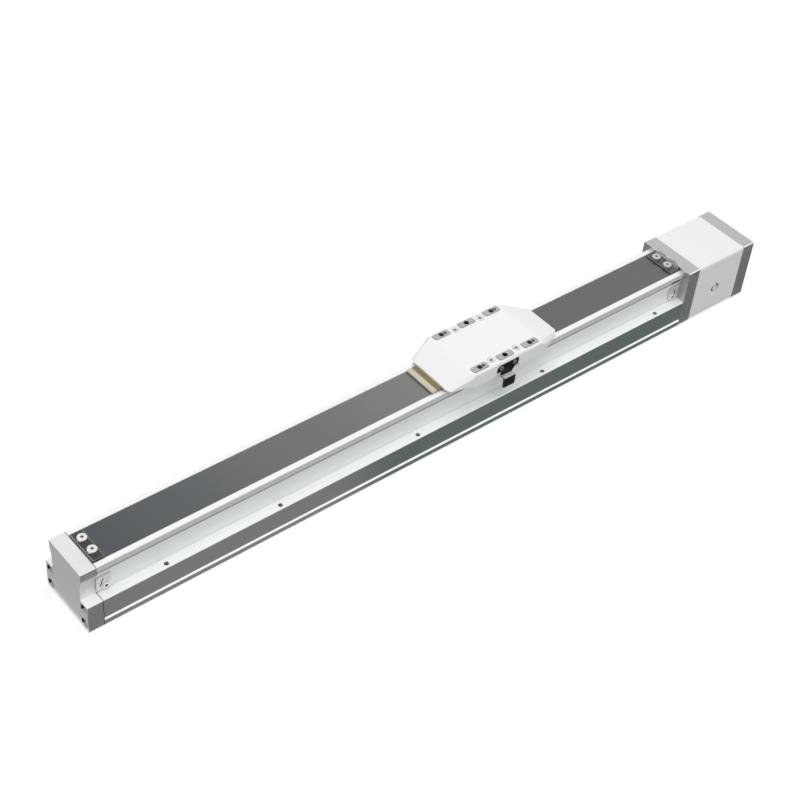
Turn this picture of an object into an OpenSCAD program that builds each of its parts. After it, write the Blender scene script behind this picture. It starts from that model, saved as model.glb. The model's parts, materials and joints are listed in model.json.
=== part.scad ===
// Belt driven linear axis: a T-shaped aluminium profile with a steel cover
// strip, a carriage on a miniature rail, and a toothed belt between an idler
// in the left end and a driven pulley in the head at the right end.
// X runs along the axis towards the drive head, Z is up, and the origin is
// the middle of the whole length on the bottom face.

/* [Profile] */
// Length of the extruded profile
profile_len = 661; // [560:1:900]
// Width over the mounting flange
flange_w = 63; // [62:0.5:66]
// Width over the upper rails
rail_w = 47; // [46:0.5:49]
// Height of the profile
profile_h = 60.7; // [60:0.1:64]
// Height of the mounting ledge
ledge_h = 29.6; // [28:0.1:32]
// Half width of the side wall at its narrowest
waist_y = 20.5; // [20.2:0.1:21]
// Radius of the hollow side wall
waist_r = 40; // [36:1:60]
// Height of the waist's narrowest point above the ledge
waist_rise = 8.4; // [7.4:0.1:10]
// Half width of the inner channel
channel_y = 17.5; // [17.3:0.1:17.8]
// Height of the channel floor
floor_z = 18; // [17.5:0.1:18.5]
// Half width of the slot in the top
slot_y = 15; // [14.8:0.1:15.5]
// Thickness of the top lips
lip_t = 4.7; // [4.2:0.1:5.2]
// Edge chamfer of the profile
edge_c = 0.5; // [0.2:0.1:1]

/* [Ledge holes] */
// Pitch of the mounting holes
hole_pitch = 150; // [100:5:160]
// Distance of the last mounting hole from the profile's right end
hole_end = 36; // [30:1:60]
// Distance of the first mounting hole from the profile's left end
hole_start = 61.7; // [40:0.1:70]
// Radius of the mounting holes
hole_r = 2.15; // [1.8:0.05:2.2]
// Distance of the mounting holes from the flange's edge
hole_edge = 4.2; // [4.1:0.1:6]

/* [Ends and head] */
// Length of the end cap
cap_t = 14.5; // [12:0.5:20]
// Thickness of each head plate
plate_t = 15; // [12:0.5:20]
// Length of the drive housing
box_len = 63; // [58:0.5:80]
// Width of the head
head_w = 62.6; // [60:0.1:64]
// How far the head stands above the profile
head_rise = 3.7; // [3:0.1:6]
// Corner radius of the drive housing
box_r = 3; // [1:0.5:5]
// Corner radius of the head plates
plate_r = 1.2; // [0.5:0.1:3]

/* [Belt drive] */
// Pitch of the belt's teeth
belt_pitch = 5; // [5:0.01:5.05]
// Number of teeth on each pulley
pulley_z = 22; // [20:2:22]
// Width of the belt
belt_w = 15; // [10:1:15]
// Thickness of the belt's back
belt_back = 1.5; // [1.2:0.1:1.8]
// Height of the belt's teeth
tooth_h = 1.2; // [1:0.1:1.3]
// Height of the pulley axes
axis_z = 27.3; // [27.2:0.1:27.6]
// Radius of the drive shaft
shaft_r = 7.5; // [7:0.1:8]
// Radius of the motor bore in the drive shaft
motor_bore_r = 4; // [3.5:0.1:5.5]
// Radius of the idler axle
axle_r = 4; // [3.5:0.1:4.5]

/* [Carriage] */
// Distance of the carriage's middle from the profile's left end
rest_x = 422; // [400:1:460]
// Distance of the left stop from the profile's left end
left_room = 69.8; // [66:0.1:90]
// Distance of the right stop from the profile's right end
right_room = 46.8; // [44:0.1:60]
// Width over the carriage's cover
cover_w = 65; // [64:0.1:67]
// Height of the cover above the profile
cover_rise = 14.6; // [14:0.1:17]
// Length of the middle cover
cover_len = 82; // [80:1:90]
// Length of the front end cover
front_len = 24.2; // [22:0.1:30]
// Length of the rear end cover
rear_len = 31; // [28:0.1:36]
// Wall of the covers
cover_t = 2.4; // [1.8:0.1:2.6]
// How far the mounting pads stand above the cover
pad_proud = 0.3; // [0.1:0.1:1]
// Distance of the outer pads from the ends of the middle cover
pad_end = 2; // [1.5:0.1:3]
// Distance between the two rows of pads
pad_rows = 53.2; // [52.8:0.1:53.6]
// Length of a mounting pad
pad_len = 18; // [14:0.5:18]
// Width of a mounting pad
pad_w = 7; // [6:0.1:7.2]
// Radius of the threaded holes in the pads
pad_hole_r = 2.5; // [2:0.05:2.6]
// Depth of the threaded holes in the pads
pad_hole_depth = 9; // [6:0.5:10]

/* [Cover strip] */
// Width of the steel strip
strip_w = 36; // [34:0.5:37]
// Thickness of the steel strip
strip_t = 0.3; // [0.2:0.05:0.4]
// Length of a strip clamp
clamp_len = 10.6; // [10:0.1:12]
// Thickness of a strip clamp
clamp_t = 1.3; // [1:0.1:1.8]
// Distance between the two screws of a clamp
clamp_pitch = 15; // [14:0.5:17]

/* [Clearances] */
// Gap between parts that slide past each other
slide_gap = 0.3; // [0.2:0.05:0.35]
// Radial clearance of a bearing fit
fit_gap = 0.04; // [0.02:0.01:0.08]
// Clearance of a screw in its hole
screw_gap = 0.25; // [0.15:0.05:0.4]

/* [Hidden] */

round_fn = 48;
eps = 0.01;

// Screws: shank, head and sunk seat of the larger ones, then the smaller ones
m4_r = 2.08;
m4_tap_r = 2.1;
m4_clear_r = 2.5;
m4_head_r = 4.25;
m4_head_h = 5;
m4_seat_r = 4.6;
m4_sink = 5.5;
m4_depth = 22;
m3_tap_r = 1.25;
m3_r = 1.23;
m3_clear_r = 1.5;
m3_head_r = 2.75;
m3_head_h = 3;

// Stations along X
total_len = cap_t + profile_len + 2 * plate_t + box_len;
x_left = -total_len / 2;
x_p0 = x_left + cap_t;
x_p1 = x_p0 + profile_len;
x_box = x_p1 + plate_t;
x_plate = x_box + box_len;
x_right = x_plate + plate_t;
cx = x_p0 + rest_x;

// Heights in the profile
head_h = profile_h + head_rise;
cover_z = profile_h + cover_rise;
waist_z = ledge_h + waist_rise;
wall_top_z = profile_h - 8.5;
lip_z = profile_h - lip_t;
groove_top_z = profile_h - 6.1;
strip_seat_d = 0.5;
strip_z = profile_h - strip_seat_d + 0.03;
strip_top = strip_z + strip_t;
chamber_z0 = 7;
chamber_z1 = 13.5;
chamber_y = 10;
end_screw_y = flange_w / 2 - 6;
end_screw_z = [6.5, 23];
hole_y = flange_w / 2 - hole_edge;

// Belt and pulleys
pitch_r = pulley_z * belt_pitch / (2 * PI);
pulley_r = pitch_r - 0.6;
land_r = pulley_r + 0.08;
back_r = land_r + belt_back;
tooth_base = 1.25;
tooth_tip = 0.69;
tooth_gap = 0.13;
tooth_flare = 0.4;
disc_r = back_r + 1.1;
disc_t = 1.2;
pulley_w = belt_w + 1.5;
idler_room = 45;
drive_x = x_box + box_len / 2;
belt_pitches = floor((drive_x - x_left - idler_room + 3) / belt_pitch);
idler_x = drive_x - belt_pitches * belt_pitch;
upper_z = axis_z + land_r;
lower_z = axis_z - land_r;
belt_top_z = axis_z + back_r;
bore_half = pulley_w / 2 + disc_t;
bearing_w = 9;
bearing_r = 16;
motor_pilot_r = 15;
motor_bore_depth = 33.5;
motor_bolt = 16.25;
key_w = 5;
idler_bearing_w = 5;
idler_bearing_r = 8;
pocket_x1 = idler_x + disc_r + 2;

// Guide rail and runner blocks
rail_foot_w = 15;
rail_h = 10;
rail_x0 = pocket_x1 + 2;
rail_x1 = x_p1 - 4;
rail_pitch = 40;
rail_sink = 4.5;
runner_w = 32;
runner_h = 16;
runner_body = 27;
runner_end = 7;
runner_gap_z = 4;
runner_x = cover_len / 2 - 16;
runner_bolt_x = 10;
runner_bolt_y = 10;
runner_top = floor_z + runner_h;
runner_seat = 4;

// Carriage base
web_y = slot_y - 1;
seat_t = 6;
belt_clamp_t = 3.5;
table_z0 = profile_h + 0.7;
table_z1 = table_z0 + 2.8;
base_x = cover_len / 2;
web_x = base_x - 1;
seat_x = base_x + 19;
base_y = cover_w / 2 - cover_t - 0.1;
cover_roof = cover_z - cover_t;
base_c = 1;
channel_half = strip_w / 2 + 1;
pad_z = cover_z + pad_proud;
pad_pitch = base_x - pad_end - pad_len / 2;
cover_bolt_x = pad_pitch / 2;
cover_bolt_y = pad_rows / 2 - 1.6;
skirt_z = profile_h - 0.5;
nose_z0 = profile_h + 1.7;
nose_z1 = profile_h + 3.6;
scraper_out = 5.7;
wiper_out = 11.2;
felt_under = 5;

// Strip bridge over the carriage
bridge_x = base_x + 17;
bridge_rise0 = base_x + 12;
bridge_rise1 = base_x + 2;
bridge_z = table_z1 + 0.1;

// Stops
anchor_z0 = lip_z - 2.8;
buffer_len = 5;
left_stop_x = x_p0 + left_room;
right_stop_x = x_p1 - right_room;
strip_end = 0.4;
clamp_screw_left = x_p0 + 6.5;
clamp_screw_right = x_p1 - 7.2;
clamp_inset = 1.2;
clamp_side = 0.8;
clamp_head_r = 4.1;
clamp_head_h = 2.7;

// Side screws that hold the idler yoke and the flange's spigot
side_screw_d = 8.5;
side_screw_z = waist_z - 3.5;
side_plate_l = 13.5;
side_plate_t = 1.2;
side_plate_z0 = ledge_h + 1.6;
side_plate_z1 = wall_top_z - 5;
side_head_y = waist_y + 1.46;
spigot_len = 17;
flange_thread = 12;
spigot_z0 = floor_z + rail_h + 0.5;
spigot_z1 = side_screw_z + 4.5;

// Switch bracket on the near side of the carriage
notch_half = 13.2;
notch_z = cover_z - 3.9;
switch_x0 = cx - 6.3;
switch_x1 = cx + 7.1;
switch_out = cover_w / 2 + 4.4;
switch_t = 2.2;
switch_z0 = profile_h - 14.9;
switch_z1 = profile_h - 3.7;
switch_screw_z = table_z1 + 3.4;
switch_screw_x = [-8, 8];
bracket_t = 2.2;
switch_head_r = 2.1;
switch_head_h = 1.2;
neck_half = 5.8;
shelf_t = 1.2;

// ---------------------------------------------------------------- helpers

// A 2D outline in the YZ plane, extruded along X
module along_x(x, length) {
    translate([x, 0, 0]) rotate([90, 0, 90]) linear_extrude(height = length) children();
}

// A 2D outline in the XZ plane, extruded along Y
module along_y(y, length) {
    translate([0, y + length, 0]) rotate([90, 0, 0]) linear_extrude(height = length) children();
}

module bar_x(x, length, y, z, r) {
    translate([x, y, z]) rotate([0, 90, 0]) cylinder(h = length, r = r, $fn = round_fn);
}

module bar_y(x, y, length, z, r) {
    translate([x, y + length, z]) rotate([90, 0, 0]) cylinder(h = length, r = r, $fn = round_fn);
}

module bar_z(x, y, z, length, r) {
    translate([x, y, z]) cylinder(h = length, r = r, $fn = round_fn);
}

module block(x0, x1, y0, y1, z0, z1) {
    translate([x0, y0, z0]) cube([x1 - x0, y1 - y0, z1 - z0]);
}

module mirror_y() {
    children();
    mirror([0, 1, 0]) children();
}

module rounded_rect(w, h, r) {
    square([w - 2 * r, h], center = true);
    square([w, h - 2 * r], center = true);
    for (sx = [-1, 1], sy = [-1, 1])
        translate([sx * (w / 2 - r), sy * (h / 2 - r)]) circle(r = r, $fn = round_fn);
}

// A socket head screw along -Z, with the underside of its head at z = 0
module screw(shank_r, length, head_r, head_h) {
    difference() {
        union() {
            translate([0, 0, -length]) cylinder(h = length + eps, r = shank_r, $fn = round_fn);
            cylinder(h = head_h, r = head_r, $fn = round_fn);
        }
        translate([0, 0, head_h * 0.4]) cylinder(h = head_h, r = head_r * 0.52, $fn = 6);
    }
}

// ---------------------------------------------------------------- profile

// Right half of the outer T section
module half_outline() {
    half_w = flange_w / 2;
    rail_y = rail_w / 2;
    difference() {
        union() {
            square([half_w, ledge_h]);
            square([rail_y, profile_h]);
        }
        intersection() {
            translate([waist_y, ledge_h]) square([half_w, wall_top_z - ledge_h]);
            translate([waist_y + waist_r, waist_z]) circle(r = waist_r, $fn = 180);
        }
        for (corner = [[half_w, 0], [half_w, ledge_h], [rail_y, profile_h]])
            translate(corner) rotate(45)
                square(edge_c * sqrt(2), center = true);
    }
}

module outline() {
    half_outline();
    mirror([1, 0]) half_outline();
}

// Grooves along the sides: under the lip, at the foot of the wall and in the flange
module side_grooves() {
    half_w = flange_w / 2;
    rail_y = rail_w / 2;
    foot_y = waist_y + 0.95;
    for (dir = [0, 1]) mirror([dir, 0]) {
        polygon([
            [rail_y + 1, groove_top_z], [rail_y - 1.5, groove_top_z - 0.2],
            [rail_y - 1.5, groove_top_z - 0.4], [rail_y + 1, groove_top_z - 2.9]
        ]);
        polygon([
            [half_w + 1, 9], [half_w - 1.2, 8.4],
            [half_w - 1.2, 7.6], [half_w + 1, 3.9]
        ]);
        translate([foot_y - 0.35, ledge_h - 0.5]) square([0.7, 1]);
    }
}

module channel_section() {
    translate([-channel_y, floor_z]) square([2 * channel_y, lip_z - floor_z]);
    translate([-slot_y, lip_z - 1]) square([2 * slot_y, lip_t + 2]);
    translate([-chamber_y, chamber_z0]) square([2 * chamber_y, chamber_z1 - chamber_z0]);
    translate([-strip_w / 2 - 0.3, strip_z]) square([strip_w + 0.6, 2]);
}

function ledge_holes() = concat(
    [x_p0 + hole_start],
    [for (x = x_p1 - hole_end; x > x_p0 + hole_start + hole_pitch / 2; x = x - hole_pitch) x]
);

module end_screw_places() {
    for (y = [-end_screw_y, end_screw_y], z = end_screw_z) translate([0, y, z]) children();
}

module profile() {
    color("lightgray") difference() {
        along_x(x_p0, profile_len) difference() {
            outline();
            side_grooves();
        }
        along_x(x_p0 - 1, profile_len + 2) channel_section();
        // Room for the idler
        block(x_p0 - 1, pocket_x1, -channel_y, channel_y, chamber_z0, floor_z + 1);
        for (x = ledge_holes()) mirror_y() bar_z(x, hole_y, -1, ledge_h + 2, hole_r);
        for (x = [x_p0, x_p1 - m4_depth])
            end_screw_places() bar_x(x - eps, m4_depth + 2 * eps, 0, 0, m4_tap_r);
        mirror_y() for (x = [x_p0 + side_screw_d, x_p1 - side_screw_d]) {
            bar_y(x, channel_y - 1, 6, side_screw_z, 2 + screw_gap);
        }
        for (x = rail_holes()) bar_z(x, 0, chamber_z1 - 1, floor_z - chamber_z1 + 2, 1.7);
    }
}

// ------------------------------------------------------------- guide rail

function rail_holes() = [for (x = rail_x0 + 15; x < rail_x1 - 5; x = x + rail_pitch) x];

module rail_section(grow = 0) {
    half = rail_foot_w / 2 + grow;
    foot = rail_h * 0.4 + grow;
    head = rail_h * 0.76 - grow;
    groove_d = 1.4;
    groove_c = 1.2;
    polygon([
        [-half, 0], [half, 0], [half, foot], [half - groove_d, foot + groove_c],
        [half - groove_d, head - groove_c], [half, head], [half, rail_h - 0.5 + grow],
        [half - 0.5, rail_h + grow], [-half + 0.5, rail_h + grow], [-half, rail_h - 0.5 + grow],
        [-half, head], [-half + groove_d, head - groove_c], [-half + groove_d, foot + groove_c],
        [-half, foot]
    ]);
}

module guide_rail() {
    color("silver") difference() {
        translate([0, 0, floor_z]) along_x(rail_x0, rail_x1 - rail_x0) rail_section();
        for (x = rail_holes()) {
            bar_z(x, 0, floor_z - 1, rail_h + 2, 1.75);
            bar_z(x, 0, floor_z + rail_h - rail_sink, rail_sink + 1, 3.2);
        }
    }
}

module rail_screws() {
    color("dimgray") for (x = rail_holes())
        translate([x, 0, floor_z + rail_h - rail_sink])
            screw(m3_clear_r, rail_h - 0.5, m3_head_r, m3_head_h);
}

// --------------------------------------------------------------- left end

module end_cap() {
    color("gainsboro") difference() {
        along_x(x_left, cap_t) outline();
        end_screw_places() {
            bar_x(x_left - 1, cap_t + 2, 0, 0, m4_clear_r + screw_gap);
            bar_x(x_left - 1, m4_sink + 1, 0, 0, m4_seat_r);
        }
    }
}

module end_cap_screws() {
    color("silver") end_screw_places()
        translate([x_left + m4_sink, 0, 0]) rotate([0, -90, 0])
            screw(m4_r, cap_t - m4_sink + m4_depth - 4.5, m4_head_r, m4_head_h);
}

// Two cheeks and a back plate that carry the idler's axle
module idler_yoke() {
    cheek_in = bore_half + 0.8;
    cheek_out = channel_y - 0.1;
    cheek_x1 = idler_x + 9;
    cheek_z0 = chamber_z0 + 0.2;
    color("slategray") difference() {
        union() {
            mirror_y() block(x_p0, cheek_x1, cheek_in, cheek_out, cheek_z0, spigot_z1);
            block(x_p0, x_p0 + 4, -cheek_out, cheek_out, cheek_z0, spigot_z1);
        }
        bar_y(idler_x, -20, 40, axis_z, axle_r + 0.02);
        mirror_y() bar_y(x_p0 + side_screw_d, cheek_in - 1, 10, side_screw_z, 2);
    }
}

module idler_axle() {
    axle_half = channel_y - 0.5;
    color("silver") difference() {
        bar_y(idler_x, -axle_half, 2 * axle_half, axis_z, axle_r);
        mirror_y() difference() {
            bar_y(idler_x, bore_half + 0.1, 0.6, axis_z, axle_r + 1);
            bar_y(idler_x, bore_half - 1, 3, axis_z, axle_r - 0.5);
        }
    }
}

// Retaining rings between the cheeks and the idler's bearings
module axle_clips() {
    color("dimgray") mirror_y() difference() {
        bar_y(idler_x, bore_half + 0.15, 0.5, axis_z, axle_r + 1.8);
        bar_y(idler_x, bore_half - 1, 3, axis_z, axle_r - 0.45);
        block(idler_x, idler_x + axle_r + 3, bore_half - 1, bore_half + 2, axis_z - 1.2, axis_z + 1.2);
    }
}

// Thin plates on the hollow side walls, each held by one screw
module side_plate(dir) {
    x_end = dir > 0 ? x_p0 : x_p1;
    x_mid = x_end + dir * side_plate_l / 2;
    bend_len = 2 * side_plate_l;
    bend_x = x_mid - side_plate_l;
    difference() {
        intersection() {
            difference() {
                bar_x(bend_x, bend_len, waist_y + waist_r, waist_z, waist_r - 0.05);
                bar_x(bend_x, bend_len, waist_y + waist_r, waist_z, waist_r - 0.05 - side_plate_t);
            }
            along_y(waist_y - 1, 5) translate([x_mid, (side_plate_z0 + side_plate_z1) / 2])
                rounded_rect(side_plate_l, side_plate_z1 - side_plate_z0, 2);
        }
        bar_y(x_end + dir * side_screw_d, channel_y, 10, side_screw_z, 2 + screw_gap);
        bar_y(x_end + dir * side_screw_d, side_head_y, 5, side_screw_z, 3.1);
        translate([x_end + dir * 5, 0, waist_z + 1]) rotate([0, dir * 20, 0])
            block(-0.5, 0.5, channel_y, channel_y + 10, -4.5, 4.5);
    }
}

module side_plates() {
    color("gainsboro") mirror_y() {
        side_plate(1);
        side_plate(-1);
    }
}

module side_screws() {
    color("silver") for (x = [x_p0 + side_screw_d, x_p1 - side_screw_d])
        mirror_y() translate([x, side_head_y, side_screw_z]) rotate([-90, 0, 0])
            screw(1.98, 9, 2.9, 1.2);
}

// ----------------------------------------------- strip anchors and clamps

// A bar clamped under the lips: it takes the strip's screws and the buffer
module anchor(x0, x1, screw_x, buffer_x) {
    difference() {
        union() {
            block(x0, x1, -channel_y + 0.4, channel_y - 0.4, anchor_z0, lip_z);
            block(x0, x1, -slot_y + slide_gap, slot_y - slide_gap, lip_z - eps, strip_z - 0.1);
        }
        for (y = [-clamp_pitch / 2, clamp_pitch / 2])
            bar_z(screw_x, y, anchor_z0 - 1, strip_z - anchor_z0 + 2, m4_tap_r);
        bar_x(buffer_x - 4, 8, 0, (anchor_z0 + strip_z) / 2, 1.6);
    }
}

module left_anchor() {
    color("silver") anchor(x_p0, left_stop_x - buffer_len, clamp_screw_left, left_stop_x - buffer_len);
}

module right_anchor() {
    color("silver") anchor(right_stop_x + buffer_len, x_p1, clamp_screw_right, right_stop_x + buffer_len);
}

module buffer(x, dir) {
    z = (anchor_z0 + strip_z) / 2;
    union() {
        bar_x(dir > 0 ? x - buffer_len : x, buffer_len, 0, z, 3.2);
        bar_x(dir > 0 ? x - buffer_len - 3.5 : x + buffer_len - eps, 3.5 + eps, 0, z, 1.55);
    }
}

module left_buffer() {
    color("black") buffer(left_stop_x, 1);
}

module right_buffer() {
    color("black") buffer(right_stop_x, -1);
}

module clamp_plate(x0, screw_x) {
    difference() {
        translate([x0 + clamp_len / 2, 0, strip_top])
            linear_extrude(height = clamp_t) rounded_rect(clamp_len, strip_w - 2 * clamp_side, 0.8);
        for (y = [-clamp_pitch / 2, clamp_pitch / 2])
            bar_z(screw_x, y, strip_top - 1, clamp_t + 2, m4_clear_r + screw_gap);
    }
}

module left_clamp() {
    color("dimgray") clamp_plate(x_p0 + clamp_inset, clamp_screw_left);
}

module right_clamp() {
    color("dimgray") clamp_plate(x_p1 - clamp_inset - clamp_len, clamp_screw_right);
}

module clamp_screws() {
    color("silver") for (x = [clamp_screw_left, clamp_screw_right], y = [-clamp_pitch / 2, clamp_pitch / 2])
        translate([x, y, strip_top + clamp_t]) screw(m4_r, 8.5, clamp_head_r, clamp_head_h);
}

// ------------------------------------------------------------ cover strip

module strip_piece(x0, x1) {
    difference() {
        block(x0, x1, -strip_w / 2, strip_w / 2, strip_z, strip_top);
        for (x = [clamp_screw_left, clamp_screw_right], y = [-clamp_pitch / 2, clamp_pitch / 2])
            bar_z(x, y, strip_z - 1, 3, m4_tap_r + screw_gap);
    }
}

module strip_left() {
    color("slategray") strip_piece(x_p0 + strip_end, cx - bridge_x);
}

module strip_right() {
    color("slategray") strip_piece(cx + bridge_x, x_p1 - strip_end);
}

function rise(t) = (1 - cos(180 * t)) / 2;

function bridge_side(dir, lift) = [
    for (i = [0:8]) let (t = i / 8)
        [cx - dir * (bridge_rise0 + (bridge_rise1 - bridge_rise0) * t),
         strip_z + lift + (bridge_z - strip_z) * rise(t)]
];

function backwards(list) = [for (i = [len(list) - 1:-1:0]) list[i]];

// The part of the strip that is lifted over the carriage
module strip_bridge() {
    lower = concat(
        [[cx - bridge_x, strip_z]], bridge_side(1, 0),
        backwards(bridge_side(-1, 0)), [[cx + bridge_x, strip_z]]
    );
    upper = concat(
        [[cx - bridge_x, strip_top]], bridge_side(1, strip_t),
        backwards(bridge_side(-1, strip_t)), [[cx + bridge_x, strip_top]]
    );
    color("slategray") along_y(-strip_w / 2, strip_w) polygon(concat(lower, backwards(upper)));
}

// ------------------------------------------------------------------- belt

// Corner points of one tooth at point p, with travel direction t and inward normal n
function tooth_at(p, t, n) = [
    p - tooth_base * t,
    p - tooth_tip * t + tooth_h * n,
    p + tooth_tip * t + tooth_h * n,
    p + tooth_base * t
];

function polar(a) = [cos(a), sin(a)];

function flat_teeth(x0, x1, z, dir) = [
    for (i = [0:abs(round((x1 - x0) / belt_pitch))])
        each tooth_at([x0 + dir * i * belt_pitch, z], [dir, 0], [0, -dir])
];

// Teeth round a pulley, from angle a0 over half a turn, anticlockwise
function arc_teeth(x, a0) = [
    for (i = [1:pulley_z / 2 - 1]) let (a = a0 + i * 360 / pulley_z)
        each tooth_at([x, axis_z] + land_r * polar(a), [-sin(a), cos(a)], -polar(a))
];

function arc_back(x, a0) = [
    for (i = [0:24]) [x, axis_z] + back_r * polar(a0 + i * 7.5)
];

belt_end_l = cx - web_x - slide_gap;
belt_end_r = cx + web_x + slide_gap;
first_l = drive_x - ceil((drive_x - belt_end_l + tooth_base) / belt_pitch) * belt_pitch;
first_r = drive_x - floor((drive_x - belt_end_r - tooth_base) / belt_pitch) * belt_pitch;

// The belt's flat upper runs have their teeth below, and its lower run has them above
function belt_inside() = concat(
    [[belt_end_l, upper_z]],
    flat_run_left(), arc_teeth(idler_x, 90), flat_run_low(),
    arc_teeth(drive_x, 270), flat_run_right(),
    [[belt_end_r, upper_z]]
);

function flat_run_left() = [
    for (i = [0:round((first_l - idler_x) / belt_pitch)])
        each tooth_at([first_l - i * belt_pitch, upper_z], [-1, 0], [0, -1])
];

function flat_run_low() = [
    for (i = [0:belt_pitches])
        each tooth_at([idler_x + i * belt_pitch, lower_z], [1, 0], [0, 1])
];

function flat_run_right() = [
    for (i = [0:round((drive_x - first_r) / belt_pitch)])
        each tooth_at([drive_x - i * belt_pitch, upper_z], [-1, 0], [0, -1])
];

module belt() {
    outside = concat(
        [[belt_end_r, belt_top_z]],
        backwards(arc_back(drive_x, 270)),
        backwards(arc_back(idler_x, 90)),
        [[belt_end_l, belt_top_z]]
    );
    color([0.12, 0.12, 0.13]) along_y(-belt_w / 2, belt_w) polygon(concat(belt_inside(), outside));
}

// A toothed pulley in the XZ plane, with a groove at the top
module pulley_outline() {
    depth = tooth_h + 0.2;
    difference() {
        circle(r = pulley_r, $fn = 120);
        for (i = [0:pulley_z - 1]) rotate(90 + i * 360 / pulley_z) polygon([
            [pulley_r + 1, tooth_base + tooth_gap + 0.45], [pulley_r - depth, tooth_tip + tooth_gap],
            [pulley_r - depth, -tooth_tip - tooth_gap], [pulley_r + 1, -tooth_base - tooth_gap - 0.45]
        ]);
    }
}

module pulley(x, bore_r) {
    difference() {
        along_y(-pulley_w / 2, pulley_w) translate([x, axis_z]) pulley_outline();
        bar_y(x, -pulley_w, 2 * pulley_w, axis_z, bore_r);
    }
}

module discs(x, hole_r) {
    mirror_y() difference() {
        bar_y(x, pulley_w / 2, disc_t, axis_z, disc_r);
        bar_y(x, 0, 20, axis_z, hole_r);
    }
}

// ------------------------------------------------------------ idler group

module idler_pulley() {
    color("silver") pulley(idler_x, idler_bearing_r + 0.02);
}

module idler_flanges() {
    color("dimgray") discs(idler_x, idler_bearing_r + 0.02);
}

module idler_bearings() {
    color("silver") mirror_y() difference() {
        bar_y(idler_x, bore_half - idler_bearing_w, idler_bearing_w, axis_z, idler_bearing_r);
        bar_y(idler_x, -1, 20, axis_z, axle_r + fit_gap);
    }
}

// ------------------------------------------------------------- drive head

module head_outline(r) {
    translate([0, head_h / 2]) rounded_rect(head_w, head_h, r);
}

module head_corner_places() {
    for (dir = [-1, 1], place = [[head_w / 2 - 6, head_h - 6], [15, 5.6]])
        translate([0, dir * place[0], place[1]]) children();
}

module drive_flange() {
    spigot_in = chamber_y + 0.5;
    spigot_out = channel_y - 0.1;
    color("silver") difference() {
        union() {
            along_x(x_p1, plate_t) head_outline(plate_r);
            mirror_y() block(x_p1 - spigot_len, x_p1 + 1, spigot_in, spigot_out, spigot_z0, spigot_z1);
        }
        // Window for both runs of the belt
        block(x_p1 - 1, x_p1 + plate_t + 1, -chamber_y, chamber_y, chamber_z0, belt_top_z + 2);
        end_screw_places() {
            bar_x(x_p1 - 1, plate_t + 2, 0, 0, m4_clear_r + screw_gap);
            bar_x(x_p1 + plate_t - m4_sink, m4_sink + 1, 0, 0, m4_seat_r);
        }
        head_corner_places() bar_x(x_box - flange_thread, flange_thread + 1, 0, 0, m4_tap_r);
        // Pockets beside the strip clamp's screws
        for (y = [-clamp_pitch / 2, clamp_pitch / 2])
            bar_z(clamp_screw_right, y, strip_z - 0.3, 10, 10.5);
        mirror_y() bar_y(x_p1 - side_screw_d, spigot_in - 1, 10, side_screw_z, 2);
    }
}

module flange_screws() {
    color("silver") end_screw_places()
        translate([x_box - m4_sink, 0, 0]) rotate([0, 90, 0])
            screw(m4_r, plate_t - m4_sink + m4_depth - 6.5, m4_head_r, m4_head_h);
}

module drive_housing() {
    chamber_r = disc_r + 1.5;
    chamber_half = bore_half + 0.8;
    bearing_y = chamber_half + bearing_w;
    wall_y = head_w / 2;
    color("whitesmoke") difference() {
        along_x(x_box, box_len) head_outline(box_r);
        bar_y(drive_x, -chamber_half, 2 * chamber_half, axis_z, chamber_r);
        block(x_box - 1, drive_x, -chamber_half, chamber_half, axis_z - chamber_r, axis_z + chamber_r);
        mirror_y() bar_y(drive_x, 0, bearing_y, axis_z, bearing_r + 0.02);
        // Open side with the motor's centring recess
        bar_y(drive_x, bearing_y - 1, wall_y, axis_z, motor_pilot_r - 1.5);
        bar_y(drive_x, wall_y - 3, 5, axis_z, motor_pilot_r);
        for (dx = [-1, 1], dz = [-1, 1])
            bar_y(drive_x + dx * motor_bolt, wall_y - 9, 10, axis_z + dz * motor_bolt, 1.65);
        // Access hole to the shaft
        bar_y(drive_x, -wall_y - 1, wall_y, axis_z, 5.6);
        head_corner_places() bar_x(x_box - 1, box_len + 2, 0, 0, m4_clear_r + screw_gap);
    }
}

module head_plate() {
    color("silver") difference() {
        along_x(x_plate, plate_t) head_outline(plate_r);
        head_corner_places() {
            bar_x(x_plate - 1, plate_t + 2, 0, 0, m4_clear_r + screw_gap);
            bar_x(x_right - m4_sink, m4_sink + 1, 0, 0, m4_seat_r);
        }
    }
}

module head_screws() {
    shank = plate_t - m4_sink + box_len + flange_thread - 2;
    color("silver") head_corner_places()
        translate([x_right - m4_sink, 0, 0]) rotate([0, 90, 0]) screw(m4_r, shank, m4_head_r, m4_head_h);
}

module drive_bearings() {
    inner_y = bore_half + 0.8;
    color("silver") mirror_y() difference() {
        bar_y(drive_x, inner_y, bearing_w, axis_z, bearing_r);
        bar_y(drive_x, 0, 40, axis_z, shaft_r + fit_gap);
    }
}

module access_plug() {
    y0 = -head_w / 2 + 0.6;
    color("silver") difference() {
        union() {
            bar_y(drive_x, y0, 6, axis_z, 3.4);
            bar_y(drive_x, y0 + 2, 4, axis_z, 5.55);
        }
        bar_y(drive_x, y0 - 1, 3, axis_z, 1.8);
    }
}

module drive_shaft() {
    shaft_end = bore_half + 0.8 + bearing_w;
    shaft_out = shaft_end + 0.5;
    color("silver") difference() {
        bar_y(drive_x, -shaft_end + slide_gap, shaft_end - slide_gap + shaft_out, axis_z, shaft_r);
        bar_y(drive_x, shaft_out - motor_bore_depth, 2 * motor_bore_depth, axis_z, motor_bore_r);
        // Seat of the key
        block(drive_x - key_w / 2, drive_x + key_w / 2, -6.5, 6.5,
              axis_z + shaft_r - 2, axis_z + shaft_r + 1);
    }
}

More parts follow.
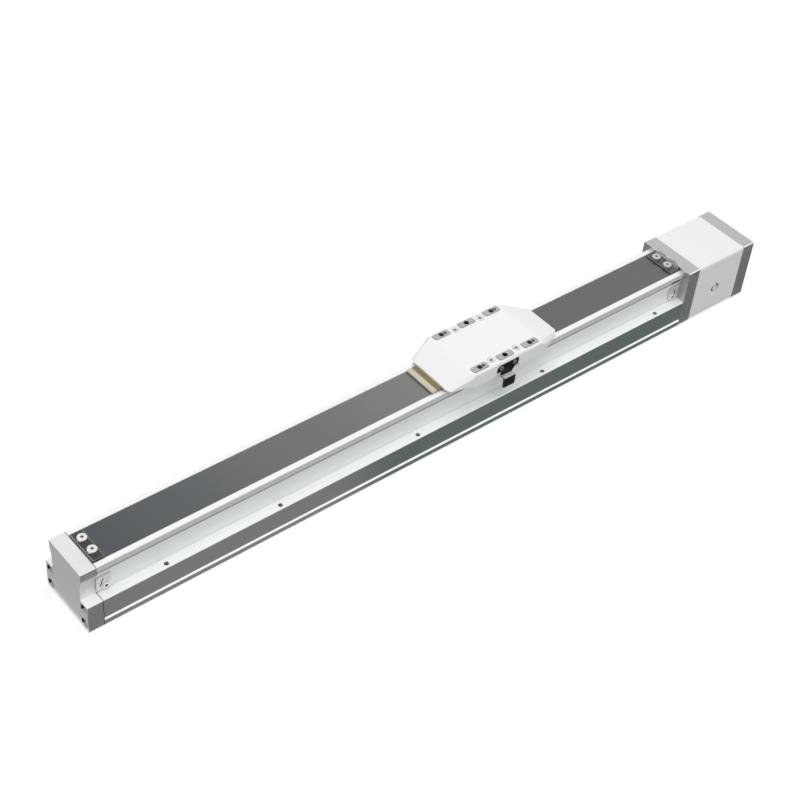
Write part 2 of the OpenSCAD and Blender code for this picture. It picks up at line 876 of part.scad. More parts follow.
module drive_pulley() {
    color("silver") difference() {
        pulley(drive_x, shaft_r + 0.02);
        block(drive_x - key_w / 2 - 0.02, drive_x + key_w / 2 + 0.02, -pulley_w, pulley_w,
              axis_z, axis_z + shaft_r + 2.2);
    }
}

module pulley_flanges() {
    color("dimgray") discs(drive_x, shaft_r + 0.02);
}

module pulley_key() {
    half = key_w / 2 - 0.02;
    color("dimgray")
        block(drive_x - half, drive_x + half, -6.4, 6.4, axis_z + shaft_r - 1.98, axis_z + shaft_r + 2);
}

// --------------------------------------------------------------- carriage

module base_section() {
    translate([-web_y, runner_top]) square([2 * web_y, table_z1 - runner_top]);
    translate([-base_y, table_z0]) square([2 * base_y, table_z1 - table_z0]);
    for (dir = [0, 1]) mirror([dir, 0]) polygon([
        [channel_half, table_z0], [base_y, table_z0], [base_y, cover_roof - base_c],
        [base_y - base_c, cover_roof], [channel_half, cover_roof]
    ]);
}

module pad_places() {
    for (x = [-pad_pitch, 0, pad_pitch], y = [-pad_rows / 2, pad_rows / 2])
        translate([cx + x, y, 0]) children();
}

module cover_bolt_places() {
    for (x = [-cover_bolt_x, cover_bolt_x], y = [-cover_bolt_y, cover_bolt_y])
        translate([cx + x, y, 0]) children();
}

module runner_bolt_places() {
    for (x = [-runner_x, runner_x], dx = [-1, 1], dy = [-1, 1])
        translate([cx + x + dx * runner_bolt_x, dy * runner_bolt_y, 0]) children();
}

// The table of the carriage: a web through the profile's slot, side walls
// with the pads, and a toothed seat for the belt at each end
module carriage_base() {
    seat_z = upper_z - 0.02;
    color("silver") difference() {
        union() {
            intersection() {
                along_x(cx - base_x, 2 * base_x) base_section();
                union() {
                    block(cx - web_x, cx + web_x, -base_y, base_y, runner_top, pad_z);
                    block(cx - base_x, cx + base_x, -base_y, base_y, table_z0, pad_z);
                }
            }
            block(cx - seat_x, cx + seat_x, -web_y, web_y, seat_z - seat_t, seat_z);
            pad_places() translate([0, 0, cover_roof - eps])
                linear_extrude(height = pad_z - cover_roof + eps) rounded_rect(pad_len, pad_w, 2);
        }
        pad_places() bar_z(0, 0, pad_z - pad_hole_depth, pad_hole_depth + 1, pad_hole_r);
        cover_bolt_places() bar_z(0, 0, cover_roof - 9, 10, 1.65);
        runner_bolt_places() {
            bar_z(0, 0, runner_top - 1, 60, m3_clear_r + screw_gap);
            bar_z(0, 0, runner_top + runner_seat, 60, m3_head_r + screw_gap);
        }
        seat_grooves();
        belt_clamp_screw_places() bar_z(0, 0, seat_z - seat_t - 1, seat_t + 2, 1.5);
        for (x = switch_screw_x) bar_y(cx + x, -base_y - 1, 9, switch_screw_z, m3_tap_r);
    }
}

// Grooves for the belt's teeth in both seats
module seat_grooves() {
    near_l = [for (i = [0:4]) first_l - i * belt_pitch];
    near_r = [for (i = [0:4]) first_r + i * belt_pitch];
    along_y(-belt_w / 2 - 0.5, belt_w + 1)
        for (x = concat(near_l, near_r)) translate([x, upper_z]) polygon([
            [-tooth_base - tooth_flare, 0.5], [-tooth_tip - tooth_gap, -tooth_h - 0.12],
            [tooth_tip + tooth_gap, -tooth_h - 0.12], [tooth_base + tooth_flare, 0.5]
        ]);
}

module belt_clamp_screw_places() {
    for (dir = [-1, 1], x = [web_x + 5, seat_x - 5], y = [-10.8, 10.8])
        translate([cx + dir * x, y, 0]) children();
}

module belt_clamp(x0) {
    color("dimgray") difference() {
        block(x0, x0 + seat_x - web_x - slide_gap, -web_y, web_y, belt_top_z, belt_top_z + belt_clamp_t);
        belt_clamp_screw_places() bar_z(0, 0, belt_top_z - 1, 10, m3_clear_r + screw_gap);
    }
}

module front_belt_clamp() {
    belt_clamp(cx - seat_x);
}

module rear_belt_clamp() {
    belt_clamp(cx + web_x + slide_gap);
}

module belt_clamp_screws() {
    color("silver") belt_clamp_screw_places()
        translate([0, 0, belt_top_z + belt_clamp_t])
            screw(1.48, belt_clamp_t + belt_top_z - upper_z + seat_t, 2.6, 1.6);
}

module runner_outline() {
    difference() {
        translate([-runner_w / 2, floor_z + runner_gap_z]) square([runner_w, runner_h - runner_gap_z]);
        translate([0, floor_z]) rail_section(slide_gap);
    }
}

module runner(x) {
    color("silver") difference() {
        along_x(cx + x - runner_body / 2, runner_body) runner_outline();
        runner_bolt_places() bar_z(0, 0, runner_top - runner_seat, 5, m3_tap_r);
    }
}

module front_runner() {
    runner(-runner_x);
}

module rear_runner() {
    runner(runner_x);
}

module runner_ends() {
    color([0.1, 0.35, 0.25]) for (x = [-runner_x, runner_x], dir = [-1, 1]) {
        x0 = cx + x + (dir > 0 ? runner_body / 2 : -runner_body / 2 - runner_end);
        intersection() {
            along_x(x0, runner_end) runner_outline();
            block(x0, x0 + runner_end, -runner_w / 2 + 0.4, runner_w / 2 - 0.4, floor_z, runner_top - 0.4);
        }
    }
}

module runner_screws() {
    color("dimgray") runner_bolt_places()
        translate([0, 0, runner_top + runner_seat]) screw(m3_r, 2 * runner_seat - 0.5, m3_head_r, m3_head_h);
}

// ----------------------------------------------------------------- covers

// Section of the middle cover: a flat roof, rounded shoulders and two skirts
module cover_section(shrink, bottom) {
    half = cover_w / 2 - shrink;
    top = cover_z - shrink;
    r = max(3.2 - shrink, 0.6);
    difference() {
        translate([-half, bottom]) square([2 * half, top - bottom]);
        for (dir = [-1, 1]) difference() {
            translate([dir * (half - r / 2 + 1), top - r / 2 + 1]) square(r + 2, center = true);
            translate([dir * (half - r), top - r]) circle(r = r, $fn = round_fn);
        }
    }
}

module middle_cover() {
    color("white") difference() {
        along_x(cx - cover_len / 2, cover_len) difference() {
            cover_section(0, skirt_z);
            cover_section(cover_t, skirt_z - 1);
        }
        pad_places() translate([0, 0, cover_roof - 1])
            linear_extrude(height = cover_t + 2) rounded_rect(pad_len + 0.6, pad_w + 0.6, 2.3);
        cover_bolt_places() {
            bar_z(0, 0, cover_roof - 1, 10, 2 + screw_gap);
            bar_z(0, 0, cover_z - 1.1, 5, 3.9);
        }
        // Notch for the switch bracket
        along_y(-cover_w / 2 - 1, 6) translate([cx, 0]) polygon([
            [-notch_half, skirt_z - 1], [-notch_half, notch_z - 3], [-notch_half + 3, notch_z],
            [notch_half - 1, notch_z], [notch_half, notch_z - 1], [notch_half, skirt_z - 1]
        ]);
    }
}

module cover_screws() {
    color("silver") cover_bolt_places() translate([0, 0, cover_z - 1.1]) screw(1.6, 8, 3.5, 1);
}

// A thin slab of an end cover: st holds its place, the half widths of its top
// and foot, the height of its shoulder and the height of its top
module slab(st, inset) {
    z_low = nose_z0 - inset;
    along_x(st[0], 0.02) polygon([
        [-st[2] + inset, z_low], [st[2] - inset, z_low], [st[2] - inset, st[3] - inset / 2],
        [st[1] - inset, st[4] - inset], [-st[1] + inset, st[4] - inset], [-st[2] + inset, st[3] - inset / 2]
    ]);
}

// An end cover that starts at 0 and slopes down to its nose at +X
module end_body(stations, inset) {
    last = len(stations) - 1;
    hull() for (i = [0:last]) translate([i < last ? 0 : -inset, 0, 0]) slab(stations[i], inset);
}

module end_cover(stations) {
    difference() {
        end_body(stations, 0);
        translate([-0.05, 0, 0]) end_body(stations, end_cover_t);
    }
    // Tongues that hook under the middle cover's roof
    for (y = [-12, 12]) difference() {
        block(-4, 7, y - 4, y + 4, cover_roof - 2, cover_roof - 0.05);
        block(-5, -eps, y - 5, y + 5, cover_roof - 0.1, cover_roof + 1);
    }
}

end_cover_t = 1.8;
front_stations = [
    [0, cover_w / 2 - 3, cover_w / 2, cover_z - 3, cover_z],
    [1.5, cover_w / 2 - 3.2, cover_w / 2, cover_z - 3.6, cover_z - 0.3],
    [front_len - 2.6, 21, 27.4, nose_z0 + 0.5, nose_z1 + 1.1],
    [front_len - 0.02, 20, 22, nose_z0 + 0.6, nose_z1]
];
rear_stations = [
    [0, cover_w / 2 - 3, cover_w / 2, cover_z - 3, cover_z],
    [4, cover_w / 2 - 3.6, cover_w / 2, cover_z - 4, cover_z - 0.8],
    [rear_len * 0.69, 22.5, 25.4, nose_z0 + 1.6, nose_z1 + 3.7],
    [rear_len * 0.885, 19.4, 21.7, nose_z0 + 1.1, nose_z1 + 1.4],
    [rear_len - 0.02, 17.6, 18, nose_z1 - 0.5, nose_z1]
];

module front_cover() {
    color("white") translate([cx - base_x, 0, 0]) mirror([1, 0, 0]) end_cover(front_stations);
}

module rear_cover() {
    color("white") translate([cx + base_x, 0, 0]) end_cover(rear_stations);
}

// ------------------------------------------------- strip guides and wipers

glide_r = 2.3;
glide_x = bridge_rise0 + 1.9;

// Two arms on the table's end face, with a bar between them that holds the strip down
module glide(dir) {
    z = strip_top + 0.35 + glide_r;
    arm_x = glide_x + 1.5 - base_x;
    arm_x0 = dir > 0 ? cx + base_x : cx - base_x - arm_x;
    color("gray") {
        bar_y(cx + dir * glide_x, -channel_half - 1, 2 * channel_half + 2, z, glide_r);
        mirror_y() block(arm_x0, arm_x0 + arm_x, channel_half, channel_half + 3, table_z0, table_z1 + 0.3);
    }
}

module front_glide() {
    glide(-1);
}

module rear_glide() {
    glide(1);
}

module wiping_strip(x0, length) {
    block(x0, x0 + length, -strip_w / 2, strip_w / 2, strip_top + 0.3, nose_z0);
}

module front_scraper() {
    color([0.52, 0.45, 0.3]) wiping_strip(cx - base_x - front_len - scraper_out, scraper_out + felt_under);
}

module rear_scraper() {
    color([0.52, 0.45, 0.3]) wiping_strip(cx + base_x + rear_len - scraper_out, felt_under);
}

module front_wiper() {
    color([0.85, 0.82, 0.74]) wiping_strip(cx - base_x - front_len - wiper_out, wiper_out - scraper_out);
}

module rear_wiper() {
    color([0.85, 0.82, 0.74]) wiping_strip(cx + base_x + rear_len - scraper_out - 4, 4);
}

// ----------------------------------------------------------------- switch

// A plate in the cover's notch, a neck and a shelf that carries the switch
module switch_bracket() {
    foot = notch_half - 0.4;
    top = notch_z - 0.4;
    shelf_z0 = switch_z1 - shelf_t;
    color([0.06, 0.06, 0.06]) difference() {
        union() {
            along_y(-base_y - bracket_t, bracket_t) translate([cx, 0]) polygon([
                [-foot, table_z0 + 1.6], [-foot, top - 3.2], [-foot + 3, top], [foot - 1.2, top],
                [foot, top - 1.2], [foot, table_z0 + 2.2], [neck_half + 2.7, table_z0 - 0.2],
                [neck_half, switch_z1], [neck_half, shelf_z0], [-neck_half, shelf_z0],
                [-neck_half, table_z0], [-neck_half - 2, table_z0 + 1.6]
            ]);
            block(switch_x0, switch_x1, -switch_out, -base_y, shelf_z0, switch_z1);
        }
        for (x = switch_screw_x) bar_y(cx + x, -base_y - 10, 12, switch_screw_z, m3_tap_r + screw_gap);
    }
}

module switch_plate() {
    color("dimgray") block(switch_x0, switch_x1, -switch_out, -switch_out + switch_t,
                           switch_z0, switch_z1 - shelf_t);
}

module switch_screws() {
    color("dimgray") for (x = switch_screw_x)
        translate([cx + x, -base_y - bracket_t, switch_screw_z]) rotate([90, 0, 0])
            screw(m3_r, 8, switch_head_r, switch_head_h);
}

// ----------------------------------------------------------------- output

profile();
guide_rail();
rail_screws();
end_cap();
end_cap_screws();
idler_yoke();
idler_axle();
axle_clips();
side_plates();
side_screws();
left_anchor();
right_anchor();
left_buffer();
right_buffer();
left_clamp();
right_clamp();
clamp_screws();
strip_left();
strip_right();
belt();
drive_flange();
flange_screws();
drive_housing();
head_plate();
head_screws();
drive_bearings();
access_plug();
drive_shaft();
drive_pulley();
pulley_flanges();
pulley_key();
idler_pulley();
idler_flanges();
idler_bearings();
carriage_base();
front_runner();
rear_runner();
runner_ends();
runner_screws();
front_belt_clamp();
rear_belt_clamp();
belt_clamp_screws();
middle_cover();
front_cover();
rear_cover();
cover_screws();
strip_bridge();
front_glide();
rear_glide();
front_scraper();
rear_scraper();
front_wiper();
rear_wiper();
switch_bracket();
switch_plate();
switch_screws();
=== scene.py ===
import json
from math import atan2, cos, hypot, radians, sin

import bmesh
import bpy
from mathutils import Matrix, Vector


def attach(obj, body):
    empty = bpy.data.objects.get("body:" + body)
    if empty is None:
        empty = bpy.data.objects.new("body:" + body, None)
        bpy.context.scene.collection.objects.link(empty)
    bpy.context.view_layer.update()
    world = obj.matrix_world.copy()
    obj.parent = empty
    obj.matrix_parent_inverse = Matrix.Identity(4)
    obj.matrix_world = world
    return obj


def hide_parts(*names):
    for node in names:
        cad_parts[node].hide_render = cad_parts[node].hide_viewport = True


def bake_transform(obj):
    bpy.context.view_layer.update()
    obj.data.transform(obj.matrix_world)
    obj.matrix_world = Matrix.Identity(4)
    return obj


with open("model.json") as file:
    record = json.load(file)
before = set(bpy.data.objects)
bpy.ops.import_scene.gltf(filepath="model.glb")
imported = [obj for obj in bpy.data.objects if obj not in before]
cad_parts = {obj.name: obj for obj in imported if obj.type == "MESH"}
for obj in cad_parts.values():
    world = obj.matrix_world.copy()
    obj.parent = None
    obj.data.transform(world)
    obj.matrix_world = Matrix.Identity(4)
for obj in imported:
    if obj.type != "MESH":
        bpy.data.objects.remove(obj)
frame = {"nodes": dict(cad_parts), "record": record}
nodes = frame["nodes"]
bodyOf = {}
for bodyName, members in frame["record"]["behaviour"]["bodies"].items():
    for member in members:
        bodyOf[member] = bodyName
slotOf = {part["node"]: part["material_slot"] for part in frame["record"]["subparts"]}
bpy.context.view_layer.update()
print("frame loaded:", len(nodes), "nodes")


# camera, looking down along the axis from its idler end
cameraSettings = {
    "place": (-0.79644, -0.80353, 1.05790),
    "right": (0.77403134, -0.62857266, 0.07597291),
    "up": (0.38353103, 0.56095664, 0.73364269),
    "forward": (0.50376525, 0.53872447, -0.67527514),
    "lens": 75.92,
    "sensor": 36.0,
    "clip": (0.05, 20.0),
}


def addCamera(settings):
    data = bpy.data.cameras.new("productCamera")
    data.sensor_width = settings["sensor"]
    data.lens = settings["lens"]
    data.clip_start, data.clip_end = settings["clip"]
    camera = bpy.data.objects.new("productCamera", data)
    bpy.context.scene.collection.objects.link(camera)
    back = [-value for value in settings["forward"]]
    turn = Matrix((settings["right"], settings["up"], back)).transposed().to_4x4()
    camera.matrix_world = Matrix.Translation(settings["place"]) @ turn
    bpy.context.scene.camera = camera


addCamera(cameraSettings)


# small helpers for node trees

def addNode(tree, kind, x, y, **settings):
    node = tree.nodes.new(kind)
    node.location = (x, y)
    for key, value in settings.items():
        setattr(node, key, value)
    return node


def addSockets(group, sockets):
    for name, direction, kind, value in sockets:
        socket = group.interface.new_socket(name=name, in_out=direction, socket_type=kind)
        if value is not None:
            socket.default_value = value


# white backdrop, soft light from above
studioSettings = {
    "worldColour": (0.97, 0.985, 1.0, 1.0),
    "worldLight": 0.5,
    "backdrop": (1.0, 1.0, 1.0, 1.0),
    "floorSize": 40.0,
    "floorHeight": -0.0008,
    "floorColour": (0.62, 0.62, 0.62, 1.0),
    "floorGlow": 0.5,
    "keyPlace": (-0.25, -0.45, 2.5),
    "keyAim": (0.0, 0.0, 0.0),
    "keySize": 2.6,
    "keyPower": 41.0,
}
# grey cards beside the axis that only show in the metal: low and high x, low and high y
cardSettings = {
    "colour": (0.96, 0.98, 1.0, 1.0),
    "height": 0.0003,
    "areas": {"sideCard": (-1.6, 1.6, -1.6, -0.0318), "endCard": (-1.6, -0.386, -0.0318, 1.2),
              "farCard": (-0.386, 1.6, 0.034, 1.2)},
    "glows": {"sideCard": 0.10, "endCard": 0.47, "farCard": 0.35},
}


def addSeenRays(tree, x, y):
    # 1 for rays from the camera, off metal or through glass, 0 for diffuse light
    path = addNode(tree, "ShaderNodeLightPath", x, y)
    first = addNode(tree, "ShaderNodeMath", x + 200, y, operation="MAXIMUM")
    second = addNode(tree, "ShaderNodeMath", x + 400, y, operation="MAXIMUM")
    tree.links.new(path.outputs["Is Camera Ray"], first.inputs[0])
    tree.links.new(path.outputs["Is Glossy Ray"], first.inputs[1])
    tree.links.new(first.outputs[0], second.inputs[0])
    tree.links.new(path.outputs["Is Transmission Ray"], second.inputs[1])
    return second.outputs[0]


def buildWorld(settings):
    world = bpy.data.worlds.new("studioWorld")
    world.use_nodes = True
    tree = world.node_tree
    tree.nodes.clear()
    seen = addSeenRays(tree, -800, 200)
    light = addNode(tree, "ShaderNodeBackground", -200, 0)
    light.inputs["Color"].default_value = settings["worldColour"]
    light.inputs["Strength"].default_value = settings["worldLight"]
    white = addNode(tree, "ShaderNodeBackground", -200, -150)
    white.inputs["Color"].default_value = settings["backdrop"]
    white.inputs["Strength"].default_value = 1.0
    mix = addNode(tree, "ShaderNodeMixShader", 50, 0)
    out = addNode(tree, "ShaderNodeOutputWorld", 250, 0)
    tree.links.new(seen, mix.inputs[0])
    tree.links.new(light.outputs[0], mix.inputs[1])
    tree.links.new(white.outputs[0], mix.inputs[2])
    tree.links.new(mix.outputs[0], out.inputs["Surface"])
    bpy.context.scene.world = world


def addPlane(name, area, z, material):
    lowX, highX, lowY, highY = area
    shape = bmesh.new()
    corners = [(lowX, lowY), (highX, lowY), (highX, highY), (lowX, highY)]
    shape.faces.new([shape.verts.new((x, y, z)) for x, y in corners])
    mesh = bpy.data.meshes.new(name)
    shape.to_mesh(mesh)
    shape.free()
    mesh.materials.append(material)
    plane = bpy.data.objects.new(name, mesh)
    bpy.context.scene.collection.objects.link(plane)
    return plane


def buildFloor(settings):
    material = bpy.data.materials.new("studioFloor")
    material.use_nodes = True
    tree = material.node_tree
    tree.nodes.clear()
    seen = addSeenRays(tree, -900, -100)
    gain = addNode(tree, "ShaderNodeMath", -250, -100, operation="MULTIPLY")
    gain.inputs[1].default_value = settings["floorGlow"]
    diffuse = addNode(tree, "ShaderNodeBsdfDiffuse", -100, 100)
    diffuse.inputs["Color"].default_value = settings["floorColour"]
    glow = addNode(tree, "ShaderNodeEmission", -100, -100)
    add = addNode(tree, "ShaderNodeAddShader", 120, 0)
    # clear from below, so that the underside can be looked at
    side = addNode(tree, "ShaderNodeNewGeometry", 120, 200)
    clear = addNode(tree, "ShaderNodeBsdfTransparent", 120, -150)
    mix = addNode(tree, "ShaderNodeMixShader", 320, 0)
    out = addNode(tree, "ShaderNodeOutputMaterial", 500, 0)
    tree.links.new(seen, gain.inputs[0])
    tree.links.new(gain.outputs[0], glow.inputs["Strength"])
    tree.links.new(diffuse.outputs[0], add.inputs[0])
    tree.links.new(glow.outputs[0], add.inputs[1])
    tree.links.new(side.outputs["Backfacing"], mix.inputs["Fac"])
    tree.links.new(add.outputs[0], mix.inputs[1])
    tree.links.new(clear.outputs[0], mix.inputs[2])
    tree.links.new(mix.outputs[0], out.inputs["Surface"])
    half = settings["floorSize"] / 2
    addPlane("studioFloor", (-half, half, -half, half), settings["floorHeight"], material)


def addCard(name, settings):
    material = bpy.data.materials.new(name)
    material.use_nodes = True
    tree = material.node_tree
    tree.nodes.clear()
    light = addNode(tree, "ShaderNodeEmission", 0, 0)
    light.inputs["Color"].default_value = settings["colour"]
    light.inputs["Strength"].default_value = settings["glows"][name]
    out = addNode(tree, "ShaderNodeOutputMaterial", 200, 0)
    tree.links.new(light.outputs[0], out.inputs["Surface"])
    card = addPlane(name, settings["areas"][name], settings["height"], material)
    card.visible_camera = False
    card.visible_diffuse = False
    card.visible_transmission = False
    card.visible_shadow = False
    card.visible_volume_scatter = False


def addKeyLight(settings):
    data = bpy.data.lights.new("softKey", "AREA")
    data.shape = "SQUARE"
    data.size = settings["keySize"]
    data.energy = settings["keyPower"]
    lamp = bpy.data.objects.new("softKey", data)
    bpy.context.scene.collection.objects.link(lamp)
    place = Vector(settings["keyPlace"])
    aim = Vector(settings["keyAim"]) - place
    turn = aim.to_track_quat("-Z", "Y").to_matrix().to_4x4()
    lamp.matrix_world = Matrix.Translation(place) @ turn
    lamp.visible_glossy = False


buildWorld(studioSettings)
buildFloor(studioSettings)
for name in cardSettings["areas"]:
    addCard(name, cardSettings)
addKeyLight(studioSettings)
bpy.context.scene.view_settings.view_transform = "Standard"
print("studio ready")


# shared surface effects
effectSettings = {
    "grainDetail": 3.0,
    "grainRoughness": 0.6,
    "grainRelief": 0.0002,
    "driftDetail": 2.0,
    "wearHighlightSamples": 4,
    "wearHighlightFlat": 0.995,   # agreement of the eased and the true normal where no edge wear or painted highlight is drawn
    "wearHighlightEdge": 0.8,     # and where all is
}


def buildGrain(settings):
    group = bpy.data.node_groups.new("surfaceGrain", "ShaderNodeTree")
    addSockets(group, [
        ("Coords", "INPUT", "NodeSocketVector", None),
        ("Stretch", "INPUT", "NodeSocketVector", (1.0, 1.0, 1.0)),
        ("Scale", "INPUT", "NodeSocketFloat", 900.0),
        ("Depth", "INPUT", "NodeSocketFloat", 0.2),
        ("Shade", "OUTPUT", "NodeSocketFloat", None),
        ("Normal", "OUTPUT", "NodeSocketVector", None),
    ])
    inside = addNode(group, "NodeGroupInput", -700, 0)
    stretch = addNode(group, "ShaderNodeVectorMath", -500, 0, operation="MULTIPLY")
    noise = addNode(group, "ShaderNodeTexNoise", -300, 0)
    noise.inputs["Detail"].default_value = settings["grainDetail"]
    noise.inputs["Roughness"].default_value = settings["grainRoughness"]
    bump = addNode(group, "ShaderNodeBump", -50, -120)
    bump.inputs["Distance"].default_value = settings["grainRelief"]
    out = addNode(group, "NodeGroupOutput", 180, 0)
    group.links.new(inside.outputs["Coords"], stretch.inputs[0])
    group.links.new(inside.outputs["Stretch"], stretch.inputs[1])
    group.links.new(stretch.outputs[0], noise.inputs["Vector"])
    group.links.new(inside.outputs["Scale"], noise.inputs["Scale"])
    group.links.new(noise.outputs["Fac"], bump.inputs["Height"])
    group.links.new(inside.outputs["Depth"], bump.inputs["Strength"])
    group.links.new(noise.outputs["Fac"], out.inputs["Shade"])
    group.links.new(bump.outputs["Normal"], out.inputs["Normal"])
    return group


def buildDrift(settings):
    # makes a colour lighter and darker in slow clouds
    group = bpy.data.node_groups.new("colourDrift", "ShaderNodeTree")
    addSockets(group, [
        ("Coords", "INPUT", "NodeSocketVector", None),
        ("Colour", "INPUT", "NodeSocketColor", (0.8, 0.8, 0.8, 1.0)),
        ("Scale", "INPUT", "NodeSocketFloat", 14.0),
        ("Amount", "INPUT", "NodeSocketFloat", 0.05),
        ("Colour", "OUTPUT", "NodeSocketColor", None),
    ])
    inside = addNode(group, "NodeGroupInput", -700, 0)
    noise = addNode(group, "ShaderNodeTexNoise", -500, 100)
    noise.inputs["Detail"].default_value = settings["driftDetail"]
    centre = addNode(group, "ShaderNodeMath", -320, 100, operation="SUBTRACT")
    centre.inputs[1].default_value = 0.5
    gain = addNode(group, "ShaderNodeMath", -160, 100, operation="MULTIPLY")
    level = addNode(group, "ShaderNodeMath", 0, 100, operation="ADD")
    level.inputs[1].default_value = 1.0
    shade = addNode(group, "ShaderNodeVectorMath", 160, 0, operation="SCALE")
    out = addNode(group, "NodeGroupOutput", 340, 0)
    group.links.new(inside.outputs["Coords"], noise.inputs["Vector"])
    group.links.new(inside.outputs["Scale"], noise.inputs["Scale"])
    group.links.new(noise.outputs["Fac"], centre.inputs[0])
    group.links.new(centre.outputs[0], gain.inputs[0])
    group.links.new(inside.outputs["Amount"], gain.inputs[1])
    group.links.new(gain.outputs[0], level.inputs[0])
    group.links.new(inside.outputs["Colour"], shade.inputs[0])
    group.links.new(level.outputs[0], shade.inputs["Scale"])
    group.links.new(shade.outputs[0], out.inputs["Colour"])
    return group


def buildEdgeWearAndHighlight(settings):
    # 1 on sharp edges, 0 on flats: where edge wear and painted highlights go
    group = bpy.data.node_groups.new("edgeWearAndHighlight", "ShaderNodeTree")
    addSockets(group, [
        ("Width", "INPUT", "NodeSocketFloat", 0.0004),
        ("Mask", "OUTPUT", "NodeSocketFloat", None),
    ])
    inside = addNode(group, "NodeGroupInput", -600, 0)
    bevel = addNode(group, "ShaderNodeBevel", -400, 0, samples=settings["wearHighlightSamples"])
    surface = addNode(group, "ShaderNodeNewGeometry", -400, -150)
    dot = addNode(group, "ShaderNodeVectorMath", -200, 0, operation="DOT_PRODUCT")
    turn = addNode(group, "ShaderNodeMapRange", 0, 0)
    turn.inputs["From Min"].default_value = settings["wearHighlightFlat"]
    turn.inputs["From Max"].default_value = settings["wearHighlightEdge"]
    out = addNode(group, "NodeGroupOutput", 200, 0)
    group.links.new(inside.outputs["Width"], bevel.inputs["Radius"])
    group.links.new(bevel.outputs["Normal"], dot.inputs[0])
    group.links.new(surface.outputs["Normal"], dot.inputs[1])
    group.links.new(dot.outputs["Value"], turn.inputs["Value"])
    group.links.new(turn.outputs["Result"], out.inputs["Mask"])
    return group


def buildHeightBand():
    # 1 above a height on the piece, 0 below it
    group = bpy.data.node_groups.new("heightBand", "ShaderNodeTree")
    addSockets(group, [
        ("Coords", "INPUT", "NodeSocketVector", None),
        ("Height", "INPUT", "NodeSocketFloat", 0.05),
        ("Mask", "OUTPUT", "NodeSocketFloat", None),
    ])
    inside = addNode(group, "NodeGroupInput", -500, 0)
    split = addNode(group, "ShaderNodeSeparateXYZ", -300, 0)
    above = addNode(group, "ShaderNodeMath", -100, 0, operation="GREATER_THAN")
    out = addNode(group, "NodeGroupOutput", 100, 0)
    group.links.new(inside.outputs["Coords"], split.inputs[0])
    group.links.new(split.outputs["Z"], above.inputs[0])
    group.links.new(inside.outputs["Height"], above.inputs[1])
    group.links.new(above.outputs[0], out.inputs["Mask"])
    return group


grainGroup = buildGrain(effectSettings)
driftGroup = buildDrift(effectSettings)
edgeWearHighlightGroup = buildEdgeWearAndHighlight(effectSettings)
bandGroup = buildHeightBand()


def addGroup(tree, group, x, y, **settings):
    node = addNode(tree, "ShaderNodeGroup", x, y, node_tree=group)
    for key, value in settings.items():
        node.inputs[key].default_value = value
    return node


def addBand(tree, band, metal, coords, wornAndLitColour, surface):
    # a second colour and sheen on the part above a height
    mask = addGroup(tree, bandGroup, -400, 650, Height=band["height"])
    blend = addNode(tree, "ShaderNodeMix", -50, 400, data_type="RGBA")
    blend.inputs["B"].default_value = band["colour"]
    shine = addNode(tree, "ShaderNodeMapRange", -50, 650)
    shine.inputs["To Min"].default_value = metal
    shine.inputs["To Max"].default_value = band["metal"]
    tree.links.new(coords.outputs["Object"], mask.inputs["Coords"])
    tree.links.new(mask.outputs["Mask"], blend.inputs["Factor"])
    tree.links.new(wornAndLitColour.outputs["Result"], blend.inputs["A"])
    tree.links.new(mask.outputs["Mask"], shine.inputs["Value"])
    tree.links.new(blend.outputs["Result"], surface.inputs["Base Color"])
    tree.links.new(shine.outputs["Result"], surface.inputs["Metallic"])


def addReflectionFade(tree, fade, coords, drift):
    # a painted reflection: a colour that changes slowly along the axis, as pairs of place and
    # shade
    start, end = fade[0][0], fade[-1][0]
    split = addNode(tree, "ShaderNodeSeparateXYZ", -1500, 400)
    along = addNode(tree, "ShaderNodeMapRange", -1300, 400)
    along.inputs["From Min"].default_value = start
    along.inputs["From Max"].default_value = end
    ramp = addNode(tree, "ShaderNodeValToRGB", -1100, 400)
    ramp.color_ramp.interpolation = "EASE"
    for number, (place, shade) in enumerate(fade):
        where = (place - start) / (end - start)
        if number < 2:
            stop = ramp.color_ramp.elements[number]
            stop.position = where
        else:
            stop = ramp.color_ramp.elements.new(where)
        stop.color = (*shade, 1.0)
    tree.links.new(coords.outputs["Object"], split.inputs[0])
    tree.links.new(split.outputs["X"], along.inputs["Value"])
    tree.links.new(along.outputs["Result"], ramp.inputs[0])
    tree.links.new(ramp.outputs["Color"], drift.inputs["Colour"])


